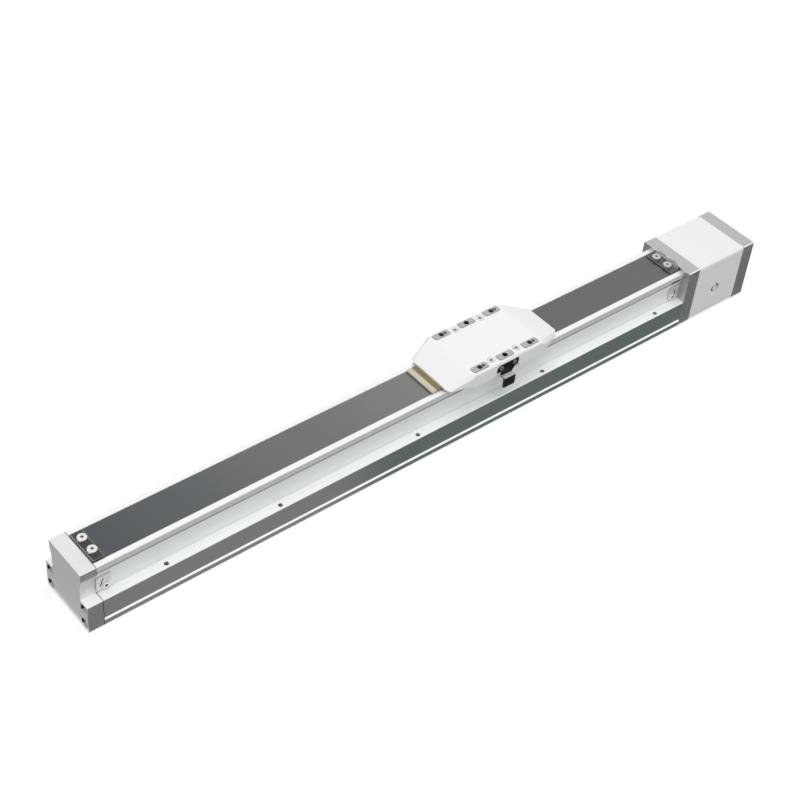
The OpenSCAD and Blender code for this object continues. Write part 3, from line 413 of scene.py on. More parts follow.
def makeFinish(name, settings):
    # one Principled surface with grain, slow colour drift, and edges lightened by wear and painted
    # highlight
    material = bpy.data.materials.new(name)
    material.use_nodes = True
    tree = material.node_tree
    tree.nodes.clear()
    coords = addNode(tree, "ShaderNodeTexCoord", -1100, 0)
    grain = addGroup(tree, grainGroup, -800, -250, Scale=settings["grainScale"],
                     Depth=settings["grainDepth"], Stretch=settings["grainStretch"])
    drift = addGroup(tree, driftGroup, -800, 150, Colour=settings["colour"],
                     Amount=settings["drift"], Scale=settings["driftScale"])
    fleck = addGroup(tree, driftGroup, -600, 150, Amount=settings["fleck"],
                     Scale=settings["fleckScale"])
    edge = addGroup(tree, edgeWearHighlightGroup, -600, 400, Width=settings["edgeWidth"])
    edgeWearHighlight = addNode(tree, "ShaderNodeMath", -400, 400, operation="MULTIPLY")
    edgeWearHighlight.inputs[1].default_value = settings["edgeAmount"]
    wornAndLitColour = addNode(tree, "ShaderNodeMix", -200, 200, data_type="RGBA")
    wornAndLitColour.inputs["B"].default_value = settings["edgeColour"]
    if settings.get("fade"):
        addReflectionFade(tree, settings["fade"], coords, drift)
    gloss = addNode(tree, "ShaderNodeMapRange", -400, -120)
    gloss.inputs["To Min"].default_value = settings["roughLow"]
    gloss.inputs["To Max"].default_value = settings["roughHigh"]
    surface = addNode(tree, "ShaderNodeBsdfPrincipled", 50, 100)
    surface.inputs["Metallic"].default_value = settings["metal"]
    surface.inputs["IOR"].default_value = settings.get("ior", 1.5)
    surface.inputs["Sheen Weight"].default_value = settings.get("sheen", 0.0)
    out = addNode(tree, "ShaderNodeOutputMaterial", 350, 100)
    tree.links.new(coords.outputs["Object"], grain.inputs["Coords"])
    tree.links.new(coords.outputs["Object"], drift.inputs["Coords"])
    tree.links.new(coords.outputs["Object"], fleck.inputs["Coords"])
    tree.links.new(drift.outputs["Colour"], fleck.inputs["Colour"])
    tree.links.new(edge.outputs["Mask"], edgeWearHighlight.inputs[0])
    tree.links.new(edgeWearHighlight.outputs[0], wornAndLitColour.inputs["Factor"])
    tree.links.new(fleck.outputs["Colour"], wornAndLitColour.inputs["A"])
    tree.links.new(wornAndLitColour.outputs["Result"], surface.inputs["Base Color"])
    band = settings.get("band")
    if band:
        addBand(tree, band, settings["metal"], coords, wornAndLitColour, surface)
    tree.links.new(grain.outputs["Shade"], gloss.inputs["Value"])
    tree.links.new(gloss.outputs["Result"], surface.inputs["Roughness"])
    tree.links.new(grain.outputs["Normal"], surface.inputs["Normal"])
    tree.links.new(surface.outputs["BSDF"], out.inputs["Surface"])
    return material


def metalSettings(colour, roughLow, roughHigh, **changes):
    settings = {
        "colour": (*colour, 1.0), "roughLow": roughLow, "roughHigh": roughHigh, "metal": 1.0,
        "grainScale": 1400.0, "grainDepth": 0.12, "grainStretch": (1.0, 1.0, 1.0),
        "drift": 0.04, "driftScale": 11.0, "fleck": 0.04, "fleckScale": 700.0,
        "edgeWidth": 0.0005, "edgeAmount": 0.5, "edgeColour": (0.95, 0.95, 0.95, 1.0),
    }
    settings.update(changes)
    return settings


def coatSettings(colour, roughLow, roughHigh, **changes):
    settings = metalSettings(colour, roughLow, roughHigh, metal=0.0, edgeAmount=0.0, drift=0.02,
                             grainScale=900.0, grainDepth=0.15, fleck=0.015, fleckScale=400.0)
    settings.update(changes)
    return settings


finishSettings = {
    "anodised_profile": metalSettings((0.93, 0.94, 0.95), 0.44, 0.56, grainScale=520.0,
                                      grainStretch=(0.02, 1.0, 1.0), grainDepth=0.1),
    "machined_aluminium": metalSettings((0.80, 0.81, 0.82), 0.30, 0.42),
    "dark_aluminium": metalSettings((0.34, 0.35, 0.37), 0.34, 0.46),
    "ground_steel": metalSettings((0.72, 0.72, 0.73), 0.16, 0.28, grainStretch=(0.03, 1.0, 1.0)),
    "black_oxide": metalSettings((0.035, 0.035, 0.04), 0.3, 0.42, edgeAmount=0.15),
    "zinc_screws": metalSettings((0.80, 0.80, 0.79), 0.2, 0.32),
    # wide, strong edge rubbing: edge wear and painted highlight lines along the edges
    "dark_steel": metalSettings((0.08, 0.082, 0.078), 0.34, 0.48, edgeAmount=0.7,
                                edgeWidth=0.0007),
    # the strip's painted reflection: lighter and darker along its length
    "strip_steel": metalSettings((0.18, 0.185, 0.19), 0.28, 0.4, grainScale=420.0,
                                 grainStretch=(0.015, 1.0, 1.0), drift=0.1, driftScale=5.0,
                                 fade=[(-0.37, (0.095, 0.105, 0.11)), (-0.30, (0.12, 0.13, 0.135)),
                                       (-0.16, (0.175, 0.18, 0.185)), (-0.02, (0.225, 0.23, 0.22)),
                                       (0.12, (0.145, 0.155, 0.15)), (0.29, (0.15, 0.16, 0.155))]),
    "belt_rubber": coatSettings((0.03, 0.03, 0.032), 0.55, 0.7),
    "black_rubber": coatSettings((0.02, 0.02, 0.02), 0.6, 0.75),
    "white_paint": coatSettings((0.90, 0.91, 0.90), 0.36, 0.48),
    "white_cover": coatSettings((0.93, 0.935, 0.93), 0.36, 0.48),
    "green_plastic": coatSettings((0.05, 0.22, 0.15), 0.4, 0.5),
    "grey_plastic": coatSettings((0.34, 0.35, 0.36), 0.4, 0.5),
    "brown_felt": coatSettings((0.24, 0.19, 0.085), 0.85, 0.95, grainScale=1500.0,
                               grainDepth=0.7, fleck=0.25, fleckScale=900.0, sheen=0.2),
    "cream_felt": coatSettings((0.62, 0.57, 0.46), 0.85, 0.95, grainScale=1500.0,
                               grainDepth=0.7, fleck=0.2, fleckScale=900.0, sheen=0.2),
    "black_bracket": coatSettings((0.012, 0.012, 0.014), 0.3, 0.4),
}
finishes = {slot: makeFinish(slot, settings) for slot, settings in finishSettings.items()}


def changed(slot, **changes):
    # the settings of a slot's finish with some of them changed
    return dict(finishSettings[slot], **changes)


# finishes of single pieces and faces; most of them paint light or shade onto faces
faceFinishSettings = {
    # wide, strong edge rubbing: edge wear and painted highlight lines along the head's edges
    "headAluminium": metalSettings((0.50, 0.505, 0.505), 0.30, 0.42, edgeWidth=0.0011,
                                   edgeAmount=0.9),
    # a mostly matt copy of the profile's finish: painted light on the lip's sides and on the rims
    # of the drive flange's pocket
    "lipAluminium": changed("anodised_profile", colour=(0.82, 0.83, 0.84, 1.0), metal=0.3),
    # a near-white mirror copy of the profile's finish: a painted highlight line in the flange's
    # groove
    "grooveAluminium": metalSettings((0.96, 0.96, 0.96), 0.08, 0.16),
    # painted highlight on eased top edges, the switch bracket's shelf, the left clamp's near edge
    # and the cap's lip slots
    "bevelAluminium": metalSettings((0.95, 0.95, 0.95), 0.2, 0.3, metal=0.4),
    # a near-white, matt copy of the profile's finish: painted light on the wall, with a painted
    # highlight line along its top
    "wallAluminium": changed("anodised_profile", colour=(0.93, 0.95, 0.955, 1.0), metal=0.1,
                             band={"height": 0.0511, "colour": (0.99, 0.99, 0.99, 1.0),
                                   "metal": 0.0}),
    # painted shade in the groove under the lip
    "grooveSlopeAluminium": metalSettings((0.34, 0.35, 0.355), 0.4, 0.5, metal=0.4),
    # a near-white, matt copy of the profile's finish: painted light on the ledges, which face up
    "ledgeAluminium": changed("anodised_profile", colour=(0.96, 0.97, 0.97, 1.0), metal=0.1),
    # the profile's finish with a painted reflection on the flange's sides, darker and greener
    # towards the drive end
    "flangeSideAluminium": changed("anodised_profile", fade=[
        (-0.37, (0.96, 0.97, 0.98)), (-0.28, (0.99, 1.0, 1.0)), (-0.15, (0.98, 1.0, 1.0)),
        (-0.06, (0.61, 0.71, 0.69)), (0.29, (0.58, 0.70, 0.66))]),
    # a finish lighter than the head's own, on the head's sides: painted light
    "headSideAluminium": changed("anodised_profile", colour=(0.74, 0.75, 0.76, 1.0)),
    "centringRing": metalSettings((0.40, 0.40, 0.40), 0.3, 0.42),
    # painted shade in the pin bores
    "centringRingFloor": coatSettings((0.035, 0.035, 0.035), 0.6, 0.75),
    "cornerHoleShade": coatSettings((0.13, 0.13, 0.128), 0.6, 0.75),
    # painted shade along the side plates' rims
    "sidePlateRim": coatSettings((0.50, 0.495, 0.48), 0.5, 0.65),
    "counterboreLight": coatSettings((0.96, 0.96, 0.96), 0.3, 0.4, ior=2.2),
    # a darker copy of the profile's finish: painted shade on the cap's hollow sides
    "capWallAluminium": changed("anodised_profile", colour=(0.86, 0.86, 0.85, 1.0), metal=0.95),
    "counterboreShade": coatSettings((0.06, 0.062, 0.062), 0.5, 0.6),
    "socketShadow": coatSettings((0.02, 0.02, 0.02), 0.6, 0.75),
    # painted shade in screw sockets; the joint seal's upper part takes the same grey
    "screwRecess": coatSettings((0.28, 0.275, 0.265), 0.5, 0.65),
    # painted highlights on the clamps' eased edges, fainter on the drive end's
    "clampEdge": metalSettings((0.62, 0.62, 0.61), 0.3, 0.42),
    "driveClampEdge": metalSettings((0.16, 0.165, 0.155), 0.35, 0.5),
    "sidePlateAluminium": metalSettings((0.82, 0.82, 0.80), 0.3, 0.42, metal=0.4),
    "sideScrewZinc": metalSettings((0.94, 0.94, 0.93), 0.2, 0.3, metal=0.4),
    # a lighter copy of the clamps' dark steel: painted light on the drive end's clamp
    "driveClampSteel": metalSettings((0.125, 0.13, 0.12), 0.34, 0.48, edgeAmount=0.5,
                                     edgeWidth=0.0007),
    # black oxide lightened to grey: painted highlight on the switch's screws
    "switchScrewOxide": metalSettings((0.42, 0.42, 0.41), 0.3, 0.42, metal=0.6),
    # a darker copy of the clamp screws' zinc: painted shade on the drive end's heads
    "driveClampScrew": metalSettings((0.56, 0.57, 0.55), 0.25, 0.36),
    "carriageAluminium": changed("machined_aluminium",
                                 band={"height": 0.0752, "colour": (0.46, 0.47, 0.48, 1.0),
                                       "metal": 1.0}),
    "bracketBlack": changed("black_bracket", ior=1.15),
    "plugZinc": metalSettings((0.93, 0.93, 0.92), 0.4, 0.5, metal=0.0),
    "coverScrewZinc": metalSettings((0.78, 0.78, 0.775), 0.3, 0.42, metal=0.5),
}
for name, settings in faceFinishSettings.items():
    finishes[name] = makeFinish(name, settings)
print("finishes built:", len(bpy.data.materials))

# nodes that don't wear their slot's own finish
ownFinishes = {
    "side_screws": "sideScrewZinc",
    "right_clamp": "driveClampSteel",
    "switch_screws": "switchScrewOxide",
    "side_plates": "sidePlateAluminium",
    "drive_flange": "headAluminium",
    "head_plate": "headAluminium",
    "carriage_base": "carriageAluminium",
    "access_plug": "plugZinc",
    "cover_screws": "coverScrewZinc",
    "switch_bracket": "bracketBlack",
}


# shared steps for pieces: a copy of a node, a cut, a piece, painted faces
shapeSettings = {
    "mergeGap": 0.000002,
    "flatAngle": 0.4,      # degrees between triangles that count as one face
    "easeAngle": 28.0,     # sharper edges than this are eased
    "easeSteps": 2,
    "easedShade": 24.0,    # faces shade smoothly below this
    "turnedShade": 35.0,   # the same for round pieces
}


def copyNode(node):
    # a node's solid with its loose triangles joined
    shape = bmesh.new()
    shape.from_mesh(nodes[node].data)
    bmesh.ops.remove_doubles(shape, verts=shape.verts[:], dist=shapeSettings["mergeGap"])
    return shape


def closeCuts(shape):
    rim = [edge for edge in shape.edges if edge.is_boundary]
    bmesh.ops.holes_fill(shape, edges=rim, sides=0)


def cutShape(shape, place, normal, **clears):
    # cuts a shape at a plane, drops a side of it if told to, and closes the cut
    bmesh.ops.bisect_plane(shape, geom=shape.verts[:] + shape.edges[:] + shape.faces[:],
                           plane_co=place, plane_no=normal, **clears)
    closeCuts(shape)


def addPiece(name, shape, finishNames, shadeAngle=None):
    bmesh.ops.recalc_face_normals(shape, faces=shape.faces[:])
    mesh = bpy.data.meshes.new(name)
    shape.to_mesh(mesh)
    shape.free()
    if shadeAngle is not None:
        for face in mesh.polygons:
            face.use_smooth = True
        mesh.set_sharp_from_angle(angle=radians(shadeAngle))
    for finishName in finishNames:
        mesh.materials.append(finishes[finishName])
    piece = bpy.data.objects.new(name, mesh)
    bpy.context.scene.collection.objects.link(piece)
    return piece


def paintFaces(piece, finishName, test):
    # gives the faces that pass the test, in millimetres, a finish of their own
    mesh, finish = piece.data, finishes[finishName]
    if mesh.materials.find(finish.name) < 0:
        mesh.materials.append(finish)
    number = mesh.materials.find(finish.name)
    for face in mesh.polygons:
        if test(face.center * 1000, face.normal):
            face.material_index = number


# the ends of the front cover's inner tongues are kept under its slope
tongueSettings = {"x": 0.00425, "top": 0.07285, "reach": 0.0006, "near": 0.00001}


def sinkTongues(shape, settings):
    gap = shapeSettings["mergeGap"]
    for edge in shape.edges:
        low, high = sorted(edge.verts, key=lambda vert: vert.co.z)
        upright = (high.co.xy - low.co.xy).length < gap
        atTip = (abs(high.co.x - settings["x"]) < settings["near"]
                 and abs(high.co.z - settings["top"]) < settings["near"])
        if upright and atTip and high.co.z - low.co.z < settings["reach"]:
            high.co = low.co
    bmesh.ops.remove_doubles(shape, verts=shape.verts[:], dist=gap)
    bmesh.ops.dissolve_degenerate(shape, dist=gap, edges=shape.edges[:])


def easedCopy(node, name, width, rides=True):
    # a rigid node with its triangles joined and its sharp edges eased
    settings = shapeSettings
    shape = copyNode(node)
    if node == "front_cover":
        sinkTongues(shape, tongueSettings)
    bmesh.ops.dissolve_limit(shape, angle_limit=radians(settings["flatAngle"]),
                             verts=shape.verts[:], edges=shape.edges[:])
    if width > 0:
        sharp = [edge for edge in shape.edges if edge.is_manifold
                 and edge.calc_face_angle(0.0) > radians(settings["easeAngle"])]
        bmesh.ops.bevel(shape, geom=sharp, offset=width, offset_type="OFFSET",
                        segments=settings["easeSteps"], profile=0.5, affect="EDGES",
                        clamp_overlap=True, material=-1)
    finishName = ownFinishes.get(node, slotOf[node])
    piece = addPiece(name, shape, [finishName], settings["easedShade"])
    weigh = piece.modifiers.new("evenShading", "WEIGHTED_NORMAL")
    weigh.keep_sharp = True
    if rides:
        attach(piece, bodyOf[node])
    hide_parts(node)
    return piece


# how wide the edges are eased, in metres
easedWidths = {
    "profile": 0.0003,
    "end_cap": 0.0005,
    "drive_flange": 0.0007,
    "head_plate": 0.0007,
    "drive_housing": 0.0006,
    "middle_cover": 0.0006,
    "front_cover": 0.0006,
    "rear_cover": 0.0006,
    "left_clamp": 0.0005,
    "right_clamp": 0.0005,
    "side_plates": 0.0002,
    "switch_bracket": 0.0003,
    "switch_plate": 0.0002,
    "carriage_base": 0.0002,
    "access_plug": 0.0003,
}
eased = {}
for node, width in easedWidths.items():
    eased[node] = easedCopy(node, node.replace("_", "-") + "-eased", width)
print("eased pieces:", len(eased))


# faces that get a finish of their own, in millimetres; side is the distance from the middle,
# faceX and faceZ say how far a face looks along an axis, tilt the same without the sign
far = 1000.0   # an open end
zoneSettings = {
    "lipSide": {"z": (51.5, far), "side": (22.5, far), "tiltY": (0.8, far)},
    "lipSlope": {"z": (52.6, 54.3), "side": (21.9, 23.6), "faceZ": (0.3, far)},
    "flangeSide": {"z": (-far, 29.4), "side": (31.2, far), "tiltY": (0.8, far)},
    "flangeGroove": {"z": (3.0, 8.0), "side": (29.5, far), "faceZ": (0.35, far)},
    "wall": {"z": (29.0, 52.5), "side": (19.5, 31.1)},
    "wallLedge": {"z": (29.0, 30.2), "side": (20.5, 31.2), "faceZ": (0.7, far)},
    "ledgeHole": {"z": (20.0, 29.5), "side": (24.0, 30.5), "tiltZ": (-far, 0.4)},
    "capHollow": {"z": (29.8, far), "side": (19.5, 24.0), "tiltY": (0.3, far)},
    "capLedge": {"z": (29.0, 30.2), "side": (20.5, far), "faceZ": (0.5, far)},
    "topBevel": {"z": (59.8, far), "tilt": (0.2, far), "faceZ": (0.25, 0.98)},
    "headSide": {"side": (31.0, far), "tiltY": (0.8, far)},
    "plateRim": {"tiltY": (-far, 0.35)},
    "leftPlateSlot": {"x": (-367.55, -361.95), "z": (36.0, 46.5), "tiltY": (-far, 0.4)},
    "rightPlateSlot": {"x": (283.45, 289.05), "z": (36.0, 46.5), "tiltY": (-far, 0.4)},
    "shelfTop": {"y": (-far, -30.5), "z": (56.4, 57.6), "faceZ": (0.3, far)},
    "clampEdge": {"tiltX": (0.2, far), "faceZ": (0.3, 0.98)},
    "clampNearEdge": {"faceX": (-far, -0.2), "faceZ": (0.3, 0.98)},
    "clampPocket": {"x": (291.5, far), "z": (59.5, far), "side": (-far, 19.0),
                    "faceX": (-far, -0.1)},
    "upperSeal": {"z": (30.5, far)},
}


def inZone(zone):
    def test(centre, normal):
        tiltX, tiltY, tiltZ = (abs(value) for value in normal)
        seen = {"x": centre.x, "y": centre.y, "z": centre.z, "side": abs(centre.y),
                "faceX": normal.x, "faceZ": normal.z, "tiltX": tiltX, "tiltY": tiltY,
                "tiltZ": tiltZ, "tilt": max(tiltX, tiltY)}
        return all(low < seen[key] < high for key, (low, high) in zoneSettings[zone].items())
    return test


def nearest(first, second, places):
    return min(hypot(first - a, second - b) for a, b in places)


# the carriage's threaded holes, as x and the distance from the middle
padHoleSettings = {
    "middle": 52.25,
    "places": [(22.25, 26.6), (52.25, 26.6), (82.25, 26.6)],
    "reach": 2.7,
    "top": 75.4,
    "cornersFrom": 10.0,   # the corner holes lie further than this from the middle
}


def inPadHole(centre, normal):
    settings = padHoleSettings
    reach = nearest(centre.x, abs(centre.y), settings["places"])
    return reach < settings["reach"] and centre.z < settings["top"]


def inCornerHole(centre, normal):
    beside = abs(centre.x - padHoleSettings["middle"]) > padHoleSettings["cornersFrom"]
    return beside and inPadHole(centre, normal)


# the counterbores in the end cap, as the distance from the middle and z
capSeatSettings = {
    "places": [(25.5, 6.5), (25.5, 23.0)],
    "reach": 4.9,
    "mouth": -377.0,
    "tilt": 0.3,
    "litBelow": 2.9,   # their lowest walls catch the light
}


def inScrewSeat(centre, normal):
    settings = capSeatSettings
    inside = centre.x < settings["mouth"] and abs(normal.x) < settings["tilt"]
    return inside and nearest(abs(centre.y), centre.z, settings["places"]) < settings["reach"]


def onSeatFloor(centre, normal):
    heights = [place[1] for place in capSeatSettings["places"]]
    middle = min(heights, key=lambda height: abs(centre.z - height))
    return inScrewSeat(centre, normal) and centre.z < middle - capSeatSettings["litBelow"]


# the access plug: painted shadow in a crescent on each side of its disc, and in its socket
plugSettings = {
    "axis": (337.75, 27.3),
    "rim": 3.2,
    "beside": 0.8,
    "socket": 1.5,
    "socketFloor": -30.6,
}


def onPlugRing(centre, normal):
    settings = plugSettings
    x, z = settings["axis"]
    reach = hypot(centre.x - x, centre.z - z)
    beside = abs(centre.x - x) > settings["beside"] * abs(centre.z - z)
    inSocket = reach < settings["socket"] and centre.y > settings["socketFloor"]
    return inSocket or (reach > settings["rim"] and beside)


# a later line paints over an earlier one
paintSettings = [
    ("carriage_base", "socketShadow", inPadHole),
    ("carriage_base", "cornerHoleShade", inCornerHole),
    ("profile", "lipAluminium", inZone("lipSide")),
    ("profile", "grooveSlopeAluminium", inZone("lipSlope")),
    ("profile", "flangeSideAluminium", inZone("flangeSide")),
    ("profile", "grooveAluminium", inZone("flangeGroove")),
    ("profile", "wallAluminium", inZone("wall")),
    ("profile", "ledgeAluminium", inZone("wallLedge")),
    ("profile", "socketShadow", inZone("ledgeHole")),
    ("end_cap", "capWallAluminium", inZone("capHollow")),
    ("end_cap", "ledgeAluminium", inZone("capLedge")),
    # the profile's finish on the cap's sides, lighter than the cap's own: painted light
    ("end_cap", "anodised_profile", inZone("headSide")),
    ("end_cap", "bevelAluminium", inZone("topBevel")),
    ("end_cap", "counterboreShade", inScrewSeat),
    ("end_cap", "counterboreLight", onSeatFloor),
    ("side_plates", "sidePlateRim", inZone("plateRim")),
    ("side_plates", "socketShadow", inZone("leftPlateSlot")),
    ("side_plates", "socketShadow", inZone("rightPlateSlot")),
    ("switch_bracket", "bevelAluminium", inZone("shelfTop")),
    ("drive_flange", "headSideAluminium", inZone("headSide")),
    ("head_plate", "headSideAluminium", inZone("headSide")),
    ("drive_flange", "bevelAluminium", inZone("topBevel")),
    ("head_plate", "bevelAluminium", inZone("topBevel")),
    ("left_clamp", "clampEdge", inZone("clampEdge")),
    ("left_clamp", "bevelAluminium", inZone("clampNearEdge")),
    ("right_clamp", "driveClampEdge", inZone("clampEdge")),
    ("access_plug", "socketShadow", onPlugRing),
    ("drive_flange", "lipAluminium", inZone("clampPocket")),
]
for node, finishName, test in paintSettings:
    paintFaces(eased[node], finishName, test)
print("single faces painted:", len(paintSettings), "zones")


# small turned pieces: a disc with a recess in its top and a rounded rim

def startDisc(settings):
    # a disc whose top lies at height 0, with the edge of the recess drawn on it
    shape = bmesh.new()
    bmesh.ops.create_cone(
        shape, cap_ends=True, segments=settings["sides"], radius1=settings["radius"],
        radius2=settings["radius"], depth=settings["height"],
        matrix=Matrix.Translation((0, 0, -settings["height"] / 2)))
    crown = max(shape.faces, key=lambda face: face.calc_center_median().z)
    rim = list(crown.edges)
    bmesh.ops.inset_region(shape, faces=[crown], thickness=settings["rim"],
                           use_even_offset=True)
    return shape, crown, rim


def sinkCrown(shape, crown, rim, settings):
    # lowers the floor of the recess, gives it the second finish, a painted shade, and rounds the
    # rim
    floor = bmesh.ops.extrude_discrete_faces(shape, faces=[crown])["faces"][0]
    for vert in floor.verts:
        vert.co.z -= settings["depth"]
    floor.material_index = 1
    for edge in floor.edges:
        for face in edge.link_faces:
            face.material_index = 1
    bmesh.ops.bevel(shape, geom=rim, offset=settings["round"], offset_type="OFFSET",
                    segments=settings["roundSteps"], profile=0.5, affect="EDGES",
                    clamp_overlap=True, material=-1)


def setAtPlaces(shape, places):
    # copies of a finished shape; a fresh mesh keeps their points in the same order each time
    single = bpy.data.meshes.new("single")
    shape.to_mesh(single)
    shape.free()
    copies = bmesh.new()
    for place in places:
        first = len(copies.verts)
        copies.from_mesh(single)
        bmesh.ops.translate(copies, verts=copies.verts[first:], vec=place)
    bpy.data.meshes.remove(single)
    return copies


# the two pairs of socket head screws on the strip clamps
clampScrewSettings = {
    "places": [(-0.36325, -0.0075), (-0.36325, 0.0075), (0.28405, -0.0075), (0.28405, 0.0075)],
    "top": 0.06493,
    "radius": 0.0043,
    "height": 0.0031,
    "rim": 0.002805,
    "socket": 0.0013,   # half the width across the flats
    "depth": 0.0018,
    "round": 0.0005,
    "roundSteps": 3,
    "sides": 36,
    "driveRim": 1.7,    # in millimetres, the part of a head with the drive end's painted shade
}


def makeSocketHead(settings):
    shape, crown, rim = startDisc(settings)
    for vert in crown.verts:
        turn = atan2(vert.co.y, vert.co.x)
        # the angle from the middle of the nearest flat of the hexagon
        flat = (turn + radians(30.0)) % radians(60.0) - radians(30.0)
        reach = settings["socket"] / cos(flat)
        vert.co.xy = (reach * cos(turn), reach * sin(turn))
    sinkCrown(shape, crown, rim, settings)
    return shape


def onDriveScrew(centre, normal):
    driveEnd = [(1000 * x, 1000 * y) for x, y in clampScrewSettings["places"] if x > 0]
    reach = nearest(centre.x, centre.y, driveEnd)
    return centre.x > 0 and reach > clampScrewSettings["driveRim"]


def buildClampScrews(settings):
    shape = setAtPlaces(makeSocketHead(settings),
                        [(x, y, settings["top"]) for x, y in settings["places"]])
    piece = addPiece("clamp-screw-heads", shape, ["zinc_screws", "screwRecess"],
                     shapeSettings["turnedShade"])
    paintFaces(piece, "driveClampScrew", onDriveScrew)
    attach(piece, "frame")
    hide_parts("clamp_screws")


buildClampScrews(clampScrewSettings)
print("clamp screws built")


# rims of the pin bores beside the threaded holes of the four corner pads, with black floors as
# painted shade in the bores
ringSettings = {
    "places": [(0.02225, -0.0266), (0.02225, 0.0266), (0.08225, -0.0266), (0.08225, 0.0266)],
    "shift": 0.0042,     # towards the drive end
    "top": 0.07572,
    "radius": 0.0020,
    "height": 0.0006,
    "rim": 0.0005,
    "depth": 0.00006,    # the floor stays above the pad
    "round": 0.00004,
    "roundSteps": 2,
    "sides": 40,
}


def buildRings(settings):
    shape, crown, rim = startDisc(settings)
    sinkCrown(shape, crown, rim, settings)
    shape = setAtPlaces(shape, [(x + settings["shift"], y, settings["top"])
                                for x, y in settings["places"]])
    piece = addPiece("centring-rings", shape, ["centringRing", "centringRingFloor"],
                     shapeSettings["turnedShade"])
    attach(piece, "carriage")


buildRings(ringSettings)
print("pin bore rims built")


# small screws seen from outside, with shaded sockets, in millimetres
socketSettings = {
    "side_screws": {"axis": 1, "finish": "socketShadow", "reach": 1.6, "top": 23.16,
                    "places": [(-361.25, 34.5), (282.75, 34.5)]},
    "cover_screws": {"axis": 2, "finish": "screwRecess", "reach": 1.6, "top": 75.2,
                     "places": [(x, y) for x in (37.25, 67.25) for y in (-25.0, 25.0)]},
    "switch_screws": {"axis": 1, "finish": "socketShadow", "reach": 1.2, "top": 33.4,
                      "places": [(44.25, 67.6), (60.25, 67.6)]},
}
topSkin = 0.05   # faces this close to the top of a head stay bright


def inSocket(settings):
    first, second = [number for number in range(3) if number != settings["axis"]]

    def test(centre, normal):
        onTop = abs(abs(centre[settings["axis"]]) - settings["top"]) < topSkin
        reach = nearest(centre[first], centre[second], settings["places"])
        return not onTop and reach < settings["reach"]
    return test


for node, settings in socketSettings.items():
    screws = easedCopy(node, node.replace("_", "-") + "-shaded", 0.0)
    paintFaces(screws, settings["finish"], inSocket(settings))
print("screw sockets shaded:", len(socketSettings))


# short slots under the lips, where the profile meets its two end pieces
slotSettings = {
    "cap": {"from": -0.3787, "to": -0.3703, "low": 0.0484, "high": 0.0530,
            "inner": 0.0190, "outer": 0.0260},
    "drive": {"from": 0.2768, "to": 0.2885, "low": 0.0527, "high": 0.0549,
              "inner": 0.0215, "outer": 0.0260},
}


def cutSlots(piece, settings, finish):
    # takes a box out of both sides of a piece and gives the new faces a finish
    shape = bmesh.new()
    for side in (-1, 1):
        middle = ((settings["from"] + settings["to"]) / 2,
                  side * (settings["inner"] + settings["outer"]) / 2,
                  (settings["low"] + settings["high"]) / 2)
        size = (settings["to"] - settings["from"], settings["outer"] - settings["inner"],
                settings["high"] - settings["low"])
        bmesh.ops.create_cube(shape, size=1.0,
                              matrix=Matrix.Translation(middle) @ Matrix.Diagonal((*size, 1.0)))
    cutterMesh = bpy.data.meshes.new("slot-cutter")
    shape.to_mesh(cutterMesh)
    shape.free()
    cutterMesh.materials.append(finish)
    if piece.data.materials.find(finish.name) < 0:
        piece.data.materials.append(finish)
    cutter = bpy.data.objects.new("slot-cutter", cutterMesh)
    bpy.context.scene.collection.objects.link(cutter)
    cut = piece.modifiers.new("slots", "BOOLEAN")
    cut.operation = "DIFFERENCE"
    cut.object = cutter
    cut.solver = "EXACT"
    cut.material_mode = "TRANSFER"
    shading = piece.modifiers["evenShading"]
    shading.show_viewport = False
    bpy.context.view_layer.update()
    depsgraph = bpy.context.evaluated_depsgraph_get()
    done = bpy.data.meshes.new_from_object(piece.evaluated_get(depsgraph))
    piece.modifiers.remove(cut)
    shading.show_viewport = True
    piece.data = done
    bpy.data.objects.remove(cutter)


# the cap's slots take painted highlight, the drive end's painted shadow
cutSlots(eased["end_cap"], slotSettings["cap"], finishes["bevelAluminium"])
cutSlots(eased["profile"], slotSettings["drive"], finishes["socketShadow"])
print("lip slots cut")


# the cap's screws sit deep in their counterbores, their heads black as painted shade
capScrewSettings = {"headsBefore": -0.3806, "sink": 0.0028}


def buildCapScrews(settings):
    shape = copyNode("end_cap_screws")
    for vert in shape.verts:
        if vert.co.x < settings["headsBefore"]:
            vert.co.x += settings["sink"]
    # black heads: painted shade deep in the counterbores
    piece = addPiece("cap-screws", shape, ["black_oxide"], shapeSettings["turnedShade"])
    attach(piece, "frame")
    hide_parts("end_cap_screws")


buildCapScrews(capScrewSettings)
print("cap screws built")


# a thin black seal in the joint between the end cap and the profile
sealSettings = {"joint": -0.36975, "half": 0.0003, "near": 0.0001}


def buildJointSeal(settings):
    joint, half = settings["joint"], settings["half"]
    shape = copyNode("end_cap")
    cutShape(shape, (joint - half, 0, 0), (1, 0, 0), clear_inner=True)
    for vert in shape.verts:
        if vert.co.x > joint - settings["near"]:
            vert.co.x = joint + half
    piece = addPiece("cap-joint-seal", shape, ["black_rubber"])
    paintFaces(piece, "screwRecess", inZone("upperSeal"))
    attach(piece, "frame")


buildJointSeal(sealSettings)
print("joint seal built")


# the cover strip runs from its clamps to the carriage
stripSettings = {
    "leftSpan": (-0.36935, -0.00575),   # fixed end, then the end at the carriage
    "rightSpan": (0.29085, 0.11025),
    "height": 0.0604,
}


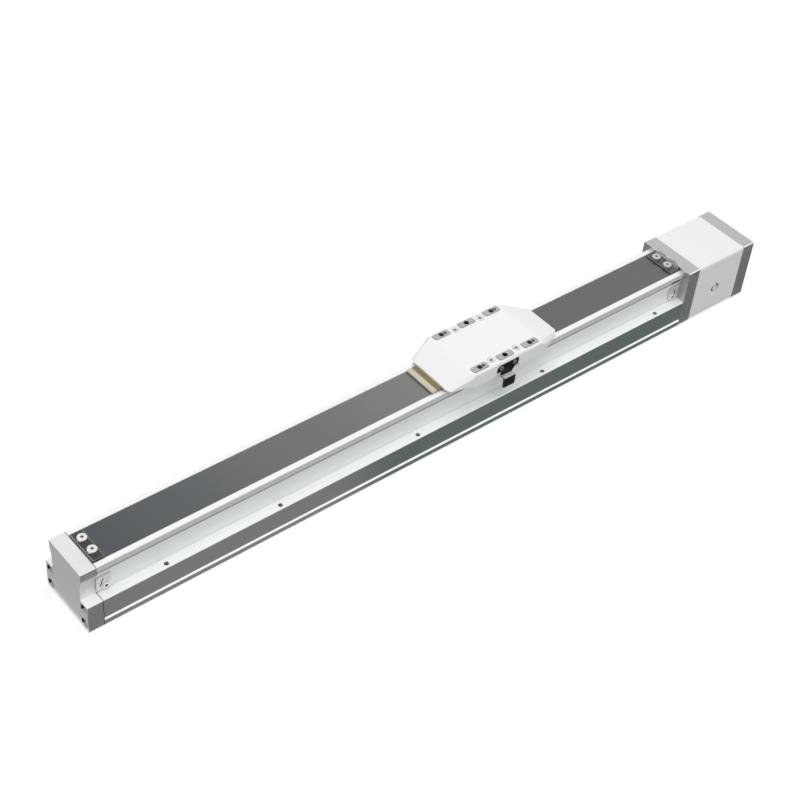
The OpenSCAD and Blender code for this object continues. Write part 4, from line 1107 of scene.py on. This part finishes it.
def stretchPiece(piece, fixedX, movingX, height):
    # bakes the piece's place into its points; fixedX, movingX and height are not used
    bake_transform(piece)


for node, name, span in (("strip_left", "left-strip", stripSettings["leftSpan"]),
                         ("strip_right", "right-strip", stripSettings["rightSpan"])):
    stretchPiece(easedCopy(node, name, 0.0, rides=False), *span, stripSettings["height"])
print("cover strip laid")


# the belt's two upper runs are cut apart from the rest of its loop, which stays with the frame
beltSettings = {
    "leftCut": -0.33975,
    "rightCut": 0.33525,
    "middle": 0.05225,
    "axis": 0.0273,
    "runHeight": 0.0443,
    "leftSpan": (-0.36, -0.0080),   # fixed end, then the end at the carriage
    "rightSpan": (0.35, 0.1125),
}


def addBeltPiece(name, shape):
    piece = addPiece(name, shape, ["belt_rubber"])
    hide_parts("belt")
    return piece


def addBeltRun(name, cut, outward, span, settings):
    # outward is -1 towards the idler and 1 towards the drive
    shape = copyNode("belt")
    cutShape(shape, (cut, 0, 0), (outward, 0, 0), clear_outer=True)
    cutShape(shape, (settings["middle"], 0, 0), (-outward, 0, 0), clear_outer=True)
    cutShape(shape, (0, 0, settings["axis"]), (0, 0, -1), clear_outer=True)
    stretchPiece(addBeltPiece(name, shape), *span, settings["runHeight"])


def addBeltLoop(settings):
    left, right = settings["leftCut"], settings["rightCut"]
    shape = copyNode("belt")
    cutShape(shape, (left, 0, 0), (1, 0, 0))
    cutShape(shape, (right, 0, 0), (1, 0, 0))
    upper = [face for face in shape.faces
             if left < face.calc_center_median().x < right
             and face.calc_center_median().z > settings["axis"]]
    bmesh.ops.delete(shape, geom=upper, context="FACES")
    closeCuts(shape)
    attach(addBeltPiece("belt-loop", shape), "frame")


addBeltRun("belt-left-run", beltSettings["leftCut"], -1, beltSettings["leftSpan"], beltSettings)
addBeltRun("belt-right-run", beltSettings["rightCut"], 1, beltSettings["rightSpan"], beltSettings)
addBeltLoop(beltSettings)
print("belt laid")


# every other node keeps its solid and gets its finish
for name, node in nodes.items():
    node.data.materials.clear()
    node.data.materials.append(finishes[ownFinishes.get(name, slotOf[name])])
print("nodes dressed:", len(nodes))
